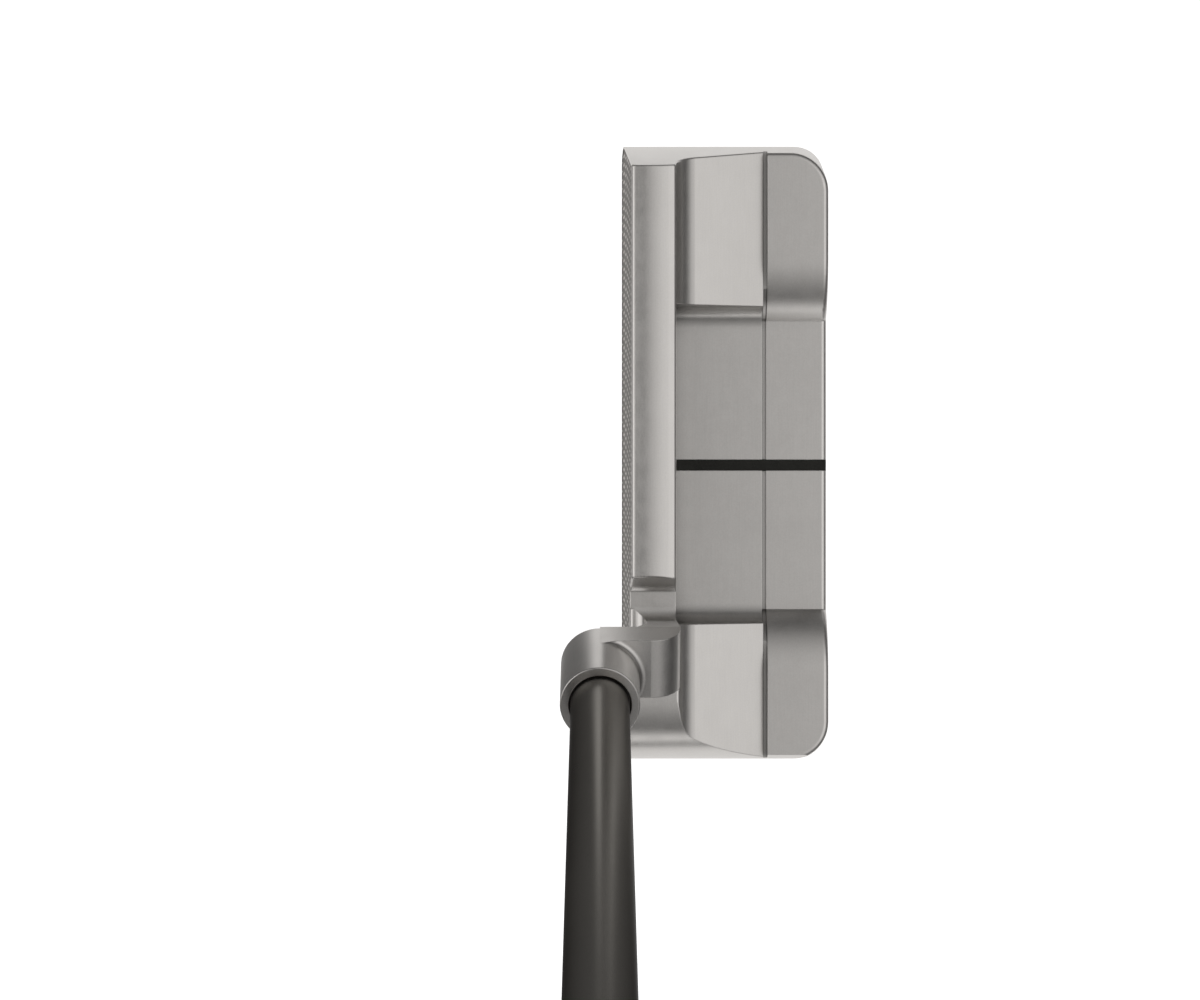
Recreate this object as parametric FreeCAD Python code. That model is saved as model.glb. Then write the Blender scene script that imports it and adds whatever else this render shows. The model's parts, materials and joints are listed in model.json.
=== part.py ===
# A right-handed mallet putter: a milled head with a plumber's neck, a shaft and a grip.
#
# Millimetres. The sole rests on z = 0. +X runs from toe to heel, the face looks towards -Y and +Y is
# the rear. The origin is on the sole, under the sight line, half way from the face to the rear edge.
# The shaft's own frame has its Z along the shaft: it starts where the shaft's axis meets the ground.

import FreeCAD, Part
import math
import os

# Head: overall sizes
TOE_LENGTH = 58.5              # sight line to the toe wall, where its lean is measured from
HEEL_LENGTH = 53.7             # sight line to heel end
HEAD_DEPTH = 37.6              # leading edge to rear edge
REAR_CORNER_RADIUS = 7.0
LOFT = 4.0                     # degrees that the face leans back

# Head: topline, the bar behind the face
TOPLINE_HEIGHT = 24.6
TOPLINE_REAR = -9.1            # y of the wall behind the topline
TOPLINE_FRONT_TILT = 8.0       # degrees, the crown's fall towards the face
TOPLINE_REAR_TILT = 11.0       # degrees, the crown's fall towards the rear
TOPLINE_PEAK = -13.4           # y of the crown's highest line
TOPLINE_CROWN_RADIUS = 18.0
TOPLINE_EDGE_RADIUS = 0.7
TOPLINE_HEEL_END = 19.9        # x where the topline starts to step down to the shelf
SHELF_START = 22.7             # x where the shelf below the neck starts
SHELF_HEIGHT = 20.0
SHELF_FOOT_RADIUS = 3.2

# Head: toe and heel ends
TOE_DRAFT = 17.0               # degrees that the toe wall leans inwards
TOE_DRAFT_START = 6.8          # z where the toe wall stands at the toe length
HEEL_ROUND_RADIUS = 11.5
LEADING_EDGE_RADIUS = 2.0
TRAILING_EDGE_RADIUS = 3.0
SOLE_BEND = 36.0               # x where the flat sole bends up towards toe and heel
SOLE_BEND_RADIUS = 200.0
SOLE_RISE = 5.0                # degrees that the sole rises beyond the bend
SOLE_END_RADIUS = 4.5

# Head: shoulders, centre floor and flange
SHOULDER_INNER = 28.8          # x of the wall between a shoulder and the centre floor
SHOULDER_REAR_HEIGHT = 12.1
SHOULDER_SLOPE = 22.0          # degrees that the shoulders fall towards the rear
SHOULDER_FOOT_RADIUS = 5.6
FLOOR_HEIGHT = 7.6
FLOOR_CORNER_RADIUS = 4.1
CREASE_Y = 7.35                # centre of the long groove between the shoulders and the flange
CREASE_WIDTH = 0.7
CREASE_DEPTH = 0.45
FLANGE_MIDDLE_END = 26.4       # x where the low middle of the flange ends
FLANGE_END_HEIGHT = 13.4
FLANGE_FALL_ANGLE = 50.0       # degrees, slope of the flange ends where they reach the floor
FLANGE_FALL_SHARE = 0.9        # share of that slope that the rounding at its top takes
FLANGE_EDGE_RADIUS = 0.9
RIM_RADIUS = 0.3               # rims of the toe wall and of the topline's heel end

# Sight line
SIGHT_WIDTH = 2.0
SIGHT_DEPTH = 0.55
SIGHT_PAINT_DEPTH = 0.4

# Neck and hosel, the plumber's neck that is cut from the same block
LIE = 70.0                     # degrees between the shaft and the ground
SHAFT_GROUND_X = 16.9          # where the shaft's axis meets the ground
SHAFT_GROUND_Y = -22.7
HOSEL_DIAMETER = 13.3
HOSEL_BOTTOM = 50.4            # along the shaft's axis, from the ground
HOSEL_LENGTH = 17.7
HOSEL_EDGE_RADIUS = 0.8
HOSEL_LIP_WIDTH = 1.4
HOSEL_LIP_RADIUS = 0.2
HOSEL_FLOOR = 1.6
ARM_WIDTH = 10.4
ARM_THICKNESS = 6.2
ARM_ELBOW_RADIUS = 5.0
ARM_FILLET_RADIUS = 1.0
POST_FOOT_FRONT = -14.5        # y of the post's front where it leaves the shelf
POST_TOP_FRONT = -16.4         # y of the post's front under the arm
POST_FOOT_RADIUS = 2.3
POST_WAIST_RADIUS = 60.0       # the post's front bends forward on this radius
POST_OVERLAP = 1.0             # how far the post runs into the arm and into the shelf

# Shaft and what joins it to the hosel
CLUB_LENGTH = 889.0            # along the shaft's axis, ground to the end of the grip
SHAFT_TIP_DIAMETER = 9.75
SHAFT_BUTT_DIAMETER = 15.2
SHAFT_WALL = 0.5
EPOXY_GAP = 0.15
EPOXY_TOP_GAP = 0.3            # how far the adhesive stops below the countersink
COUNTERSINK_DEPTH = 0.5
TIP_PLUG_LENGTH = 9.0
TIP_PLUG_CHAMFER = 0.6

# Sole weights
WEIGHT_TOE_X = -43.0
WEIGHT_HEEL_X = 40.5
WEIGHT_Y = -1.0
WEIGHT_HEAD_DIAMETER = 12.7
WEIGHT_HEAD_THICKNESS = 3.6
WEIGHT_STUB_DIAMETER = 7.0
WEIGHT_STUB_LENGTH = 4.0
WEIGHT_RECESS = 1.0            # z of the weights' outer faces
WEIGHT_CLEARANCE = 0.15
WEIGHT_CHAMFER = 0.4
SPANNER_HOLE_DIAMETER = 1.8
SPANNER_HOLE_DEPTH = 1.8
SPANNER_HOLE_SPACING = 7.0
WEIGHT_TIP_GAP = 0.5           # free room above the threaded stub
SEAL_THICKNESS = 1.0
SEAL_HEIGHT = 0.8
SEAL_CORNER_RADIUS = 0.25
SEAL_RIM = 0.85                # wall of the weight outside the seal's seat

# Sole plate: a light plate let into the sole between the weights, held by four screws
PLATE_TOE_X = -33.5
PLATE_HEEL_X = 31.5
PLATE_HALF_DEPTH = 14.0
PLATE_THICKNESS = 4.2
PLATE_CORNER_RADIUS = 5.0
PLATE_CLEARANCE = 0.1
SCREW_INSET = 4.5              # screw axis to the plate's edges
SCREW_DIAMETER = 3.0
SCREW_HEAD_DIAMETER = 5.6
SCREW_LENGTH = 6.0
SCREW_RECESS = 0.25            # z of the screws' heads
SCREW_HEX_WIDTH = 2.0
SCREW_HEX_DEPTH = 1.1

# Grip
GRIP_LENGTH = 268.0
GRIP_TAPE_THICKNESS = 0.3
GRIP_SKIN_THICKNESS = 1.6
GRIP_MOUTH_LENGTH = 9.0
GRIP_MOUTH_DIAMETER = 21.0
GRIP_MOUTH_TAPER = 1.5         # how much narrower the mouth ring's free end is, in radius
GRIP_MOUTH_ROUNDING = 1.0
GRIP_STATIONS = [              # share of the length, width, axis to the flat, axis to the round back
    (0.0, GRIP_MOUTH_DIAMETER, GRIP_MOUTH_DIAMETER / 2, GRIP_MOUTH_DIAMETER / 2),
    (0.5, 23.5, 11.3, 11.8),
    (0.85, 26.0, 12.2, 16.0),
    (1.0, 27.0, 12.5, 18.0),
]
GRIP_BACK_ROUNDING = 0.94      # share of the half width
GRIP_FRONT_ROUNDING = 0.55
GRIP_CAP_THICKNESS = 5.0
GRIP_CAP_ROUNDING = 2.0
GRIP_SPIGOT_LENGTH = 6.0
GRIP_SPIGOT_CLEARANCE = 0.1
VENT_DIAMETER = 4.0

# Derived places
HALF_DEPTH = HEAD_DEPTH / 2
LEAN = 90.0 - LIE
HOSEL_TOP = HOSEL_BOTTOM + HOSEL_LENGTH
HOSEL_RADIUS = HOSEL_DIAMETER / 2
ARM_TOP = HOSEL_BOTTOM + ARM_THICKNESS
SHAFT_TIP = HOSEL_BOTTOM + HOSEL_FLOOR
SHAFT_TIP_RADIUS = SHAFT_TIP_DIAMETER / 2
BORE_RADIUS = SHAFT_TIP_RADIUS + EPOXY_GAP
GRIP_START = CLUB_LENGTH - GRIP_LENGTH
GRIP_CAP_START = CLUB_LENGTH - GRIP_CAP_THICKNESS
SHAFT_BUTT = GRIP_CAP_START - GRIP_SPIGOT_LENGTH
WEIGHT_SHOULDER = WEIGHT_RECESS + WEIGHT_HEAD_THICKNESS
SEAL_OUTER = WEIGHT_HEAD_DIAMETER / 2 - SEAL_RIM
SEAL_INNER = SEAL_OUTER - SEAL_THICKNESS
MARGIN = 5.0                   # how far cutting shapes run past what they cut
TINY = 1e-4


def degrees_tan(angle):
    return math.tan(math.radians(angle))


def in_xy(a, b):
    return FreeCAD.Vector(a, b, 0)


def in_xz(a, b):
    return FreeCAD.Vector(a, 0, b)


def in_yz(a, b):
    return FreeCAD.Vector(0, a, b)


def corner_arc(before, corner, after, radius):
    """The tangent arc that rounds one corner, as its start, middle and end."""
    to_before = (before - corner).normalize()
    to_after = (after - corner).normalize()
    half_angle = to_before.getAngle(to_after) / 2
    reach = radius / math.tan(half_angle)
    bisector = (to_before + to_after).normalize()
    centre = corner + bisector * (radius / math.sin(half_angle))
    middle = centre - bisector * radius
    return corner + to_before * reach, middle, corner + to_after * reach


def rounded_wire(corners, plane):
    """A closed wire through (a, b, radius) corners; a radius of 0 leaves the corner sharp."""
    points = [plane(a, b) for a, b, _ in corners]
    count = len(points)
    arcs = []
    for index, (_, _, radius) in enumerate(corners):
        if radius:
            following = points[(index + 1) % count]
            arcs.append(corner_arc(points[index - 1], points[index], following, radius))
        else:
            arcs.append((points[index], None, points[index]))
    edges = []
    for index, (start, middle, end) in enumerate(arcs):
        if middle is not None:
            edges.append(Part.Arc(start, middle, end).toShape())
        following = arcs[(index + 1) % count][0]
        if following.distanceToPoint(end) > 1e-6:
            edges.append(Part.makeLine(end, following))
    return Part.Wire(edges)


def prism(corners, plane, start, length):
    """The outline pushed along the plane's normal, from start over length."""
    normal = {in_xy: FreeCAD.Vector(0, 0, 1), in_xz: FreeCAD.Vector(0, 1, 0),
              in_yz: FreeCAD.Vector(1, 0, 0)}[plane]
    solid = Part.Face(rounded_wire(corners, plane)).extrude(normal * length)
    solid.translate(normal * start)
    return solid


def block(x0, x1, y0, y1, z0, z1):
    return Part.makeBox(x1 - x0, y1 - y0, z1 - z0, FreeCAD.Vector(x0, y0, z0))


def turned(section):
    """A solid turned about Z from (radius, z, corner radius) corners."""
    face = Part.Face(rounded_wire(section, in_xz))
    return face.revolve(FreeCAD.Vector(0, 0, 0), FreeCAD.Vector(0, 0, 1), 360)


def along_shaft(solid):
    """Moves a solid from the shaft's own frame to its place on the club."""
    placed = solid.copy()
    placed.rotate(FreeCAD.Vector(0, 0, 0), FreeCAD.Vector(0, 1, 0), LEAN)
    placed.translate(FreeCAD.Vector(SHAFT_GROUND_X, SHAFT_GROUND_Y, 0))
    return placed


def shaft_radius(height):
    """Outer radius of the shaft: parallel in the hosel, then an even taper to the butt."""
    if height <= HOSEL_TOP:
        return SHAFT_TIP_RADIUS
    share = (height - HOSEL_TOP) / (SHAFT_BUTT - HOSEL_TOP)
    return SHAFT_TIP_RADIUS + share * (SHAFT_BUTT_DIAMETER / 2 - SHAFT_TIP_RADIUS)


def over_length(corners):
    """A section of the head pushed over its whole length."""
    return prism(corners, in_yz, -TOE_LENGTH - MARGIN, TOE_LENGTH + HEEL_LENGTH + 2 * MARGIN)


def face_y(z):
    """The face's place at a height: it leans back by the loft."""
    return -HALF_DEPTH + z * degrees_tan(LOFT)


def toe_wall_x(z):
    """The toe wall's place at a height: it leans in by the draft."""
    return -TOE_LENGTH + (z - TOE_DRAFT_START) * degrees_tan(TOE_DRAFT)


def head_section():
    """The head cut square to its length through a shoulder, with the sole still uncut."""
    face_top = face_y(TOPLINE_HEIGHT)
    front_edge = TOPLINE_HEIGHT - (TOPLINE_PEAK - face_top) * degrees_tan(TOPLINE_FRONT_TILT)
    rear_edge = TOPLINE_HEIGHT - (TOPLINE_REAR - TOPLINE_PEAK) * degrees_tan(TOPLINE_REAR_TILT)
    shoulder_top = SHOULDER_REAR_HEIGHT + (CREASE_Y - TOPLINE_REAR) * degrees_tan(SHOULDER_SLOPE)
    corners = [
        (face_y(-MARGIN), -MARGIN, 0),
        (face_top, front_edge, TOPLINE_EDGE_RADIUS),
        (TOPLINE_PEAK, TOPLINE_HEIGHT, TOPLINE_CROWN_RADIUS),
        (TOPLINE_REAR, rear_edge, TOPLINE_EDGE_RADIUS),
        (TOPLINE_REAR, shoulder_top, SHOULDER_FOOT_RADIUS),
        (CREASE_Y, SHOULDER_REAR_HEIGHT, 0),
        (CREASE_Y, FLANGE_END_HEIGHT, 0),
        (HALF_DEPTH, FLANGE_END_HEIGHT, 0),
        (HALF_DEPTH, -MARGIN, 0),
    ]
    return over_length(corners)


def sole_section():
    """The leading and trailing edges, rounded into the sole."""
    above = TOPLINE_HEIGHT + MARGIN
    return over_length([
        (-HALF_DEPTH, 0, LEADING_EDGE_RADIUS),
        (face_y(above), above, 0),
        (HALF_DEPTH, above, 0),
        (HALF_DEPTH, 0, TRAILING_EDGE_RADIUS),
    ])


def middle_of(edge):
    return edge.valueAt((edge.FirstParameter + edge.LastParameter) / 2)


def edges_on(solid, along, test):
    """The solid's edges that run along one axis ("X", "Y", "Z" or None for any) and pass the test."""
    chosen = []
    for edge in solid.Edges:
        first, last = edge.Vertexes[0].Point, edge.Vertexes[-1].Point
        across = [abs(getattr(last - first, axis.lower())) for axis in "XYZ" if axis != along]
        if (along is None or max(across) < TINY) and test(middle_of(edge)):
            chosen.append(edge)
    return chosen


def behind_face(p):
    """Whether a point is behind the face and in front of the rear corners."""
    return face_y(p.z) + TINY < p.y < HALF_DEPTH - REAR_CORNER_RADIUS


def upright(edge):
    rise = abs(edge.Vertexes[0].Point.z - edge.Vertexes[-1].Point.z)
    return abs(rise - edge.Length) < TINY


def shelf_section():
    """The same section cut down to the shelf, with the shelf's two long edges rounded."""
    low = head_section().common(block(-TOE_LENGTH - MARGIN, HEEL_LENGTH + MARGIN,
                                      -HALF_DEPTH - MARGIN, HALF_DEPTH + MARGIN,
                                      -MARGIN, SHELF_HEIGHT))
    edges = edges_on(low, "X", lambda p: abs(p.z - SHELF_HEIGHT) < TINY)
    return low.makeFillet(TOPLINE_EDGE_RADIUS, edges)


def sole_height(distance):
    """Height of the sole where it has bent up, at a distance from the sight line."""
    return (distance - SOLE_BEND) * degrees_tan(SOLE_RISE)


def upper_profile():
    """The head seen from the face, with the sole still uncut: toe draft and heel round."""
    above = TOPLINE_HEIGHT + MARGIN
    corners = [
        (toe_wall_x(-MARGIN), -MARGIN, 0),
        (toe_wall_x(above), above, 0),
        (SHELF_START, above, 0),
        (SHELF_START, SHELF_HEIGHT, 0),
        (HEEL_LENGTH, SHELF_HEIGHT, HEEL_ROUND_RADIUS),
        (HEEL_LENGTH, -MARGIN, 0),
    ]
    return prism(corners, in_xz, -HALF_DEPTH - MARGIN, HEAD_DEPTH + 2 * MARGIN)


def sole_profile():
    """The sole seen from the face: flat in the middle, bent up and rounded at toe and heel."""
    above = TOPLINE_HEIGHT + MARGIN
    rise, draft = degrees_tan(SOLE_RISE), degrees_tan(TOE_DRAFT)
    toe_corner_z = (TOE_LENGTH + TOE_DRAFT_START * draft - SOLE_BEND) * rise / (1 + rise * draft)
    corners = [
        (-SOLE_BEND, 0, SOLE_BEND_RADIUS),
        (toe_wall_x(toe_corner_z), toe_corner_z, SOLE_END_RADIUS),
        (toe_wall_x(above), above, 0),
        (HEEL_LENGTH, above, 0),
        (HEEL_LENGTH, sole_height(HEEL_LENGTH), SOLE_END_RADIUS),
        (SOLE_BEND, 0, SOLE_BEND_RADIUS),
    ]
    return prism(corners, in_xz, -HALF_DEPTH - MARGIN, HEAD_DEPTH + 2 * MARGIN)


def topline_end():
    """What stands above the shelf: the topline, up to the slope that steps down to the shelf."""
    above = TOPLINE_HEIGHT + MARGIN
    corners = [
        (-TOE_LENGTH - MARGIN, SHELF_HEIGHT - MARGIN, 0),
        (-TOE_LENGTH - MARGIN, above, 0),
        (TOPLINE_HEEL_END, above, 0),
        (TOPLINE_HEEL_END, TOPLINE_HEIGHT, 0),
        (SHELF_START, SHELF_HEIGHT, SHELF_FOOT_RADIUS),
        (SHELF_START + SHELF_FOOT_RADIUS, SHELF_HEIGHT, 0),
        (SHELF_START + SHELF_FOOT_RADIUS, SHELF_HEIGHT - MARGIN, 0),
    ]
    return prism(corners, in_xz, -HALF_DEPTH - MARGIN, HEAD_DEPTH + 2 * MARGIN)


def head_plan():
    """The head seen from above; the toe's rear corner leans in with the toe wall."""
    front, low, height = face_y(-2 * MARGIN), -2 * MARGIN, TOPLINE_HEIGHT + 4 * MARGIN
    upright_corners = [
        (-TOE_LENGTH - HEAD_DEPTH, front, 0),
        (HEEL_LENGTH, front, 0),
        (HEEL_LENGTH, HALF_DEPTH, REAR_CORNER_RADIUS),
        (-TOE_LENGTH - HEAD_DEPTH, HALF_DEPTH, 0),
    ]
    leaning_corners = [
        (toe_wall_x(low), front, 0),
        (HEEL_LENGTH, front, 0),
        (HEEL_LENGTH, HALF_DEPTH, 0),
        (toe_wall_x(low), HALF_DEPTH, REAR_CORNER_RADIUS),
    ]
    leaning = Part.Face(rounded_wire(leaning_corners, in_xy))
    leaning.translate(FreeCAD.Vector(0, 0, low))
    leaning = leaning.extrude(FreeCAD.Vector(degrees_tan(TOE_DRAFT), 0, 1) * height)
    return prism(upright_corners, in_xy, low, height).common(leaning)


def centre_pocket():
    """What is milled away between the shoulders, from the topline back to the long groove."""
    above = TOPLINE_HEIGHT + MARGIN
    corners = [
        (-SHOULDER_INNER, above, 0),
        (-SHOULDER_INNER, FLOOR_HEIGHT, FLOOR_CORNER_RADIUS),
        (SHOULDER_INNER, FLOOR_HEIGHT, FLOOR_CORNER_RADIUS),
        (SHOULDER_INNER, above, 0),
    ]
    return prism(corners, in_xz, TOPLINE_REAR, CREASE_Y - TOPLINE_REAR)


def flange_profile(lowered):
    """The flange's top from toe to heel, lowered by a distance, with everything above it."""
    above = TOPLINE_HEIGHT + MARGIN
    drop = FLANGE_END_HEIGHT - FLOOR_HEIGHT
    bend = FLANGE_MIDDLE_END + drop / degrees_tan(FLANGE_FALL_ANGLE)
    reach = FLANGE_FALL_SHARE * drop / math.sin(math.radians(FLANGE_FALL_ANGLE))
    fall_radius = reach / degrees_tan(FLANGE_FALL_ANGLE / 2)
    far = TOE_LENGTH + MARGIN
    return [
        (-far, above, 0),
        (-far, FLANGE_END_HEIGHT - lowered, 0),
        (-bend, FLANGE_END_HEIGHT - lowered, fall_radius),
        (-FLANGE_MIDDLE_END, FLOOR_HEIGHT - lowered, 0),
        (FLANGE_MIDDLE_END, FLOOR_HEIGHT - lowered, 0),
        (bend, FLANGE_END_HEIGHT - lowered, fall_radius),
        (far, FLANGE_END_HEIGHT - lowered, 0),
        (far, above, 0),
    ]


def flange_pocket():
    """What is milled away above the flange: its ends fall in a round to the centre floor."""
    return prism(flange_profile(0), in_xz, CREASE_Y, HALF_DEPTH - CREASE_Y + MARGIN)


def crease():
    """The long groove between the shoulders and the flange, which also crosses the floor."""
    front = CREASE_Y - CREASE_WIDTH / 2
    across_floor = prism(flange_profile(CREASE_DEPTH), in_xz, front, CREASE_WIDTH)
    bottom = SHOULDER_REAR_HEIGHT - CREASE_DEPTH
    above = FLANGE_END_HEIGHT + MARGIN
    across_ends = block(-TOE_LENGTH - MARGIN, HEEL_LENGTH + MARGIN,
                        front, front + CREASE_WIDTH, bottom, above)
    return across_floor.fuse(across_ends)


def solid_of(shape):
    """The one solid of a boolean's result, with its split faces joined."""
    return shape.removeSplitter().Solids[0]


def round_flange(body):
    """Rounds the top of the rear wall, from one rear corner to the other."""
    def upper(p):
        along_rear = abs(p.y - HALF_DEPTH) < TINY and p.z > FLOOR_HEIGHT - TINY
        in_corner = abs(p.z - FLANGE_END_HEIGHT) < TINY and p.y > HALF_DEPTH - REAR_CORNER_RADIUS
        return (along_rear or in_corner) and p.y > 0
    edges = [edge for edge in edges_on(body, None, upper)
             if edge.Length > FLANGE_EDGE_RADIUS and not upright(edge)]
    return body.makeFillet(FLANGE_EDGE_RADIUS, edges)


def round_toe_rim(body):
    """Rounds the rim where the toe wall meets everything above it."""
    def on_rim(p):
        on_wall = abs(p.x - toe_wall_x(p.z)) < TINY
        return on_wall and behind_face(p) and p.z > SHOULDER_REAR_HEIGHT - TINY
    return body.makeFillet(RIM_RADIUS, edges_on(body, None, on_rim))


def round_topline_end(body):
    """Rounds the edge where the topline starts its step down to the shelf."""
    def on_edge(p):
        near = abs(p.x - TOPLINE_HEEL_END) < TOPLINE_EDGE_RADIUS
        above_shelf = p.z > (SHELF_HEIGHT + TOPLINE_HEIGHT) / 2
        return near and p.y < TOPLINE_REAR - TINY and behind_face(p) and above_shelf
    return body.makeFillet(RIM_RADIUS, edges_on(body, None, on_edge))


def head_body():
    """The head without its neck, before the small cuts."""
    tall = head_section().common(topline_end())
    body = tall.fuse(shelf_section()).common(upper_profile()).common(head_plan())
    body = solid_of(body.cut(centre_pocket()).cut(flange_pocket()))
    body = round_topline_end(round_toe_rim(round_flange(body)))
    return solid_of(body.common(sole_section()).common(sole_profile()))


def sight_groove():
    bottom = FLOOR_HEIGHT - SIGHT_DEPTH
    return block(-SIGHT_WIDTH / 2, SIGHT_WIDTH / 2, TOPLINE_REAR, HALF_DEPTH + MARGIN,
                 bottom, SHELF_HEIGHT)


def sight_paint(body):
    """Paint that fills the lower part of the sight line."""
    bottom = FLOOR_HEIGHT - SIGHT_DEPTH
    layer = block(-SIGHT_WIDTH / 2, SIGHT_WIDTH / 2, TOPLINE_REAR, HALF_DEPTH + MARGIN,
                  bottom, bottom + SIGHT_PAINT_DEPTH)
    return layer.common(body)


def upright_cylinder(x, y, radius, low, high):
    return Part.makeCylinder(radius, high - low, FreeCAD.Vector(x, y, low))


def weight_pocket(x):
    """The pocket in the sole for one weight: a counterbore and a threaded hole."""
    head_radius = WEIGHT_HEAD_DIAMETER / 2 + WEIGHT_CLEARANCE
    end = WEIGHT_SHOULDER + WEIGHT_STUB_LENGTH + WEIGHT_TIP_GAP
    wide = upright_cylinder(x, WEIGHT_Y, head_radius, -MARGIN, WEIGHT_SHOULDER)
    narrow = upright_cylinder(x, WEIGHT_Y, WEIGHT_STUB_DIAMETER / 2, 0, end)
    return wide.fuse(narrow)


def weight(x):
    """A screw-in weight: a flat head with two spanner holes, a seat for its seal and a threaded stub."""
    radius = WEIGHT_HEAD_DIAMETER / 2
    seat_floor = WEIGHT_SHOULDER - SEAL_HEIGHT
    stub = WEIGHT_STUB_DIAMETER / 2
    top = WEIGHT_SHOULDER + WEIGHT_STUB_LENGTH
    solid = turned([
        (0, WEIGHT_RECESS, 0),
        (radius - WEIGHT_CHAMFER, WEIGHT_RECESS, 0),
        (radius, WEIGHT_RECESS + WEIGHT_CHAMFER, 0),
        (radius, WEIGHT_SHOULDER, 0),
        (SEAL_OUTER, WEIGHT_SHOULDER, 0),
        (SEAL_OUTER, seat_floor, 0),
        (SEAL_INNER, seat_floor, 0),
        (SEAL_INNER, WEIGHT_SHOULDER, 0),
        (stub, WEIGHT_SHOULDER, 0),
        (stub, top - WEIGHT_CHAMFER, 0),
        (stub - WEIGHT_CHAMFER, top, 0),
        (0, top, 0),
    ])
    for side in (-1, 1):
        hole = upright_cylinder(side * SPANNER_HOLE_SPACING / 2, 0, SPANNER_HOLE_DIAMETER / 2,
                                WEIGHT_RECESS - MARGIN, WEIGHT_RECESS + SPANNER_HOLE_DEPTH)
        solid = solid.cut(hole)
    solid.translate(FreeCAD.Vector(x, WEIGHT_Y, 0))
    return solid


def weight_seal(x):
    """The rubber ring pressed between a weight's head and the pocket's shoulder."""
    ring = turned([
        (SEAL_INNER, WEIGHT_SHOULDER - SEAL_HEIGHT, SEAL_CORNER_RADIUS),
        (SEAL_OUTER, WEIGHT_SHOULDER - SEAL_HEIGHT, SEAL_CORNER_RADIUS),
        (SEAL_OUTER, WEIGHT_SHOULDER, SEAL_CORNER_RADIUS),
        (SEAL_INNER, WEIGHT_SHOULDER, SEAL_CORNER_RADIUS),
    ])
    ring.translate(FreeCAD.Vector(x, WEIGHT_Y, 0))
    return ring


def plate_outline(inset):
    radius = PLATE_CORNER_RADIUS - inset
    return [
        (PLATE_TOE_X + inset, -PLATE_HALF_DEPTH + inset, radius),
        (PLATE_HEEL_X - inset, -PLATE_HALF_DEPTH + inset, radius),
        (PLATE_HEEL_X - inset, PLATE_HALF_DEPTH - inset, radius),
        (PLATE_TOE_X + inset, PLATE_HALF_DEPTH - inset, radius),
    ]


def screw_places():
    """x and y of the four screws of the sole plate."""
    return [(x, y)
            for x in (PLATE_TOE_X + SCREW_INSET, PLATE_HEEL_X - SCREW_INSET)
            for y in (-PLATE_HALF_DEPTH + SCREW_INSET, PLATE_HALF_DEPTH - SCREW_INSET)]


def screw_body(x, y):
    """A countersunk screw without its hexagon: also what is cut from the plate and the head for it."""
    wide, narrow = SCREW_HEAD_DIAMETER / 2, SCREW_DIAMETER / 2
    solid = turned([
        (0, SCREW_RECESS, 0),
        (wide, SCREW_RECESS, 0),
        (narrow, SCREW_RECESS + wide - narrow, 0),
        (narrow, SCREW_RECESS + SCREW_LENGTH, 0),
        (0, SCREW_RECESS + SCREW_LENGTH, 0),
    ])
    solid.translate(FreeCAD.Vector(x, y, 0))
    return solid


def screw_hexagon(x, y):
    """The hexagon socket in a screw's head."""
    radius = SCREW_HEX_WIDTH / math.sqrt(3)
    angles = [math.radians(60 * turn) for turn in range(6)]
    corners = [(x + radius * math.cos(a), y + radius * math.sin(a), 0) for a in angles]
    return prism(corners, in_xy, SCREW_RECESS, SCREW_HEX_DEPTH)


def sole_plate_screws():
    return Part.makeCompound([screw_body(x, y).cut(screw_hexagon(x, y)) for x, y in screw_places()])


def screw_access(x, y):
    """The free room under a screw's head, down through the sole."""
    return upright_cylinder(x, y, SCREW_HEAD_DIAMETER / 2, -MARGIN, SCREW_RECESS)


def sole_plate():
    """The light plate that fills the pocket in the sole and follows the sole's bend."""
    plate = prism(plate_outline(PLATE_CLEARANCE), in_xy, -MARGIN, MARGIN + PLATE_THICKNESS)
    plate = plate.common(sole_profile())
    for x, y in screw_places():
        plate = plate.cut(screw_body(x, y)).cut(screw_access(x, y))
    return solid_of(plate)


def head(body):
    """The whole milled head, cut from one block."""
    whole = solid_of(body.fuse(neck()))
    cuts = [crease(), sight_groove(), weight_pocket(WEIGHT_TOE_X), weight_pocket(WEIGHT_HEEL_X)]
    cuts.append(prism(plate_outline(0), in_xy, -MARGIN, MARGIN + PLATE_THICKNESS))
    cuts.extend(screw_body(x, y) for x, y in screw_places())
    for cut in cuts:
        whole = whole.cut(cut)
    return solid_of(whole)


def beside_shaft(across, along):
    """x and z of a point beside the shaft's axis, from its place in the shaft's own frame."""
    lean = math.radians(LEAN)
    x = SHAFT_GROUND_X + across * math.cos(lean) + along * math.sin(lean)
    z = along * math.cos(lean) - across * math.sin(lean)
    return x, z


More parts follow.
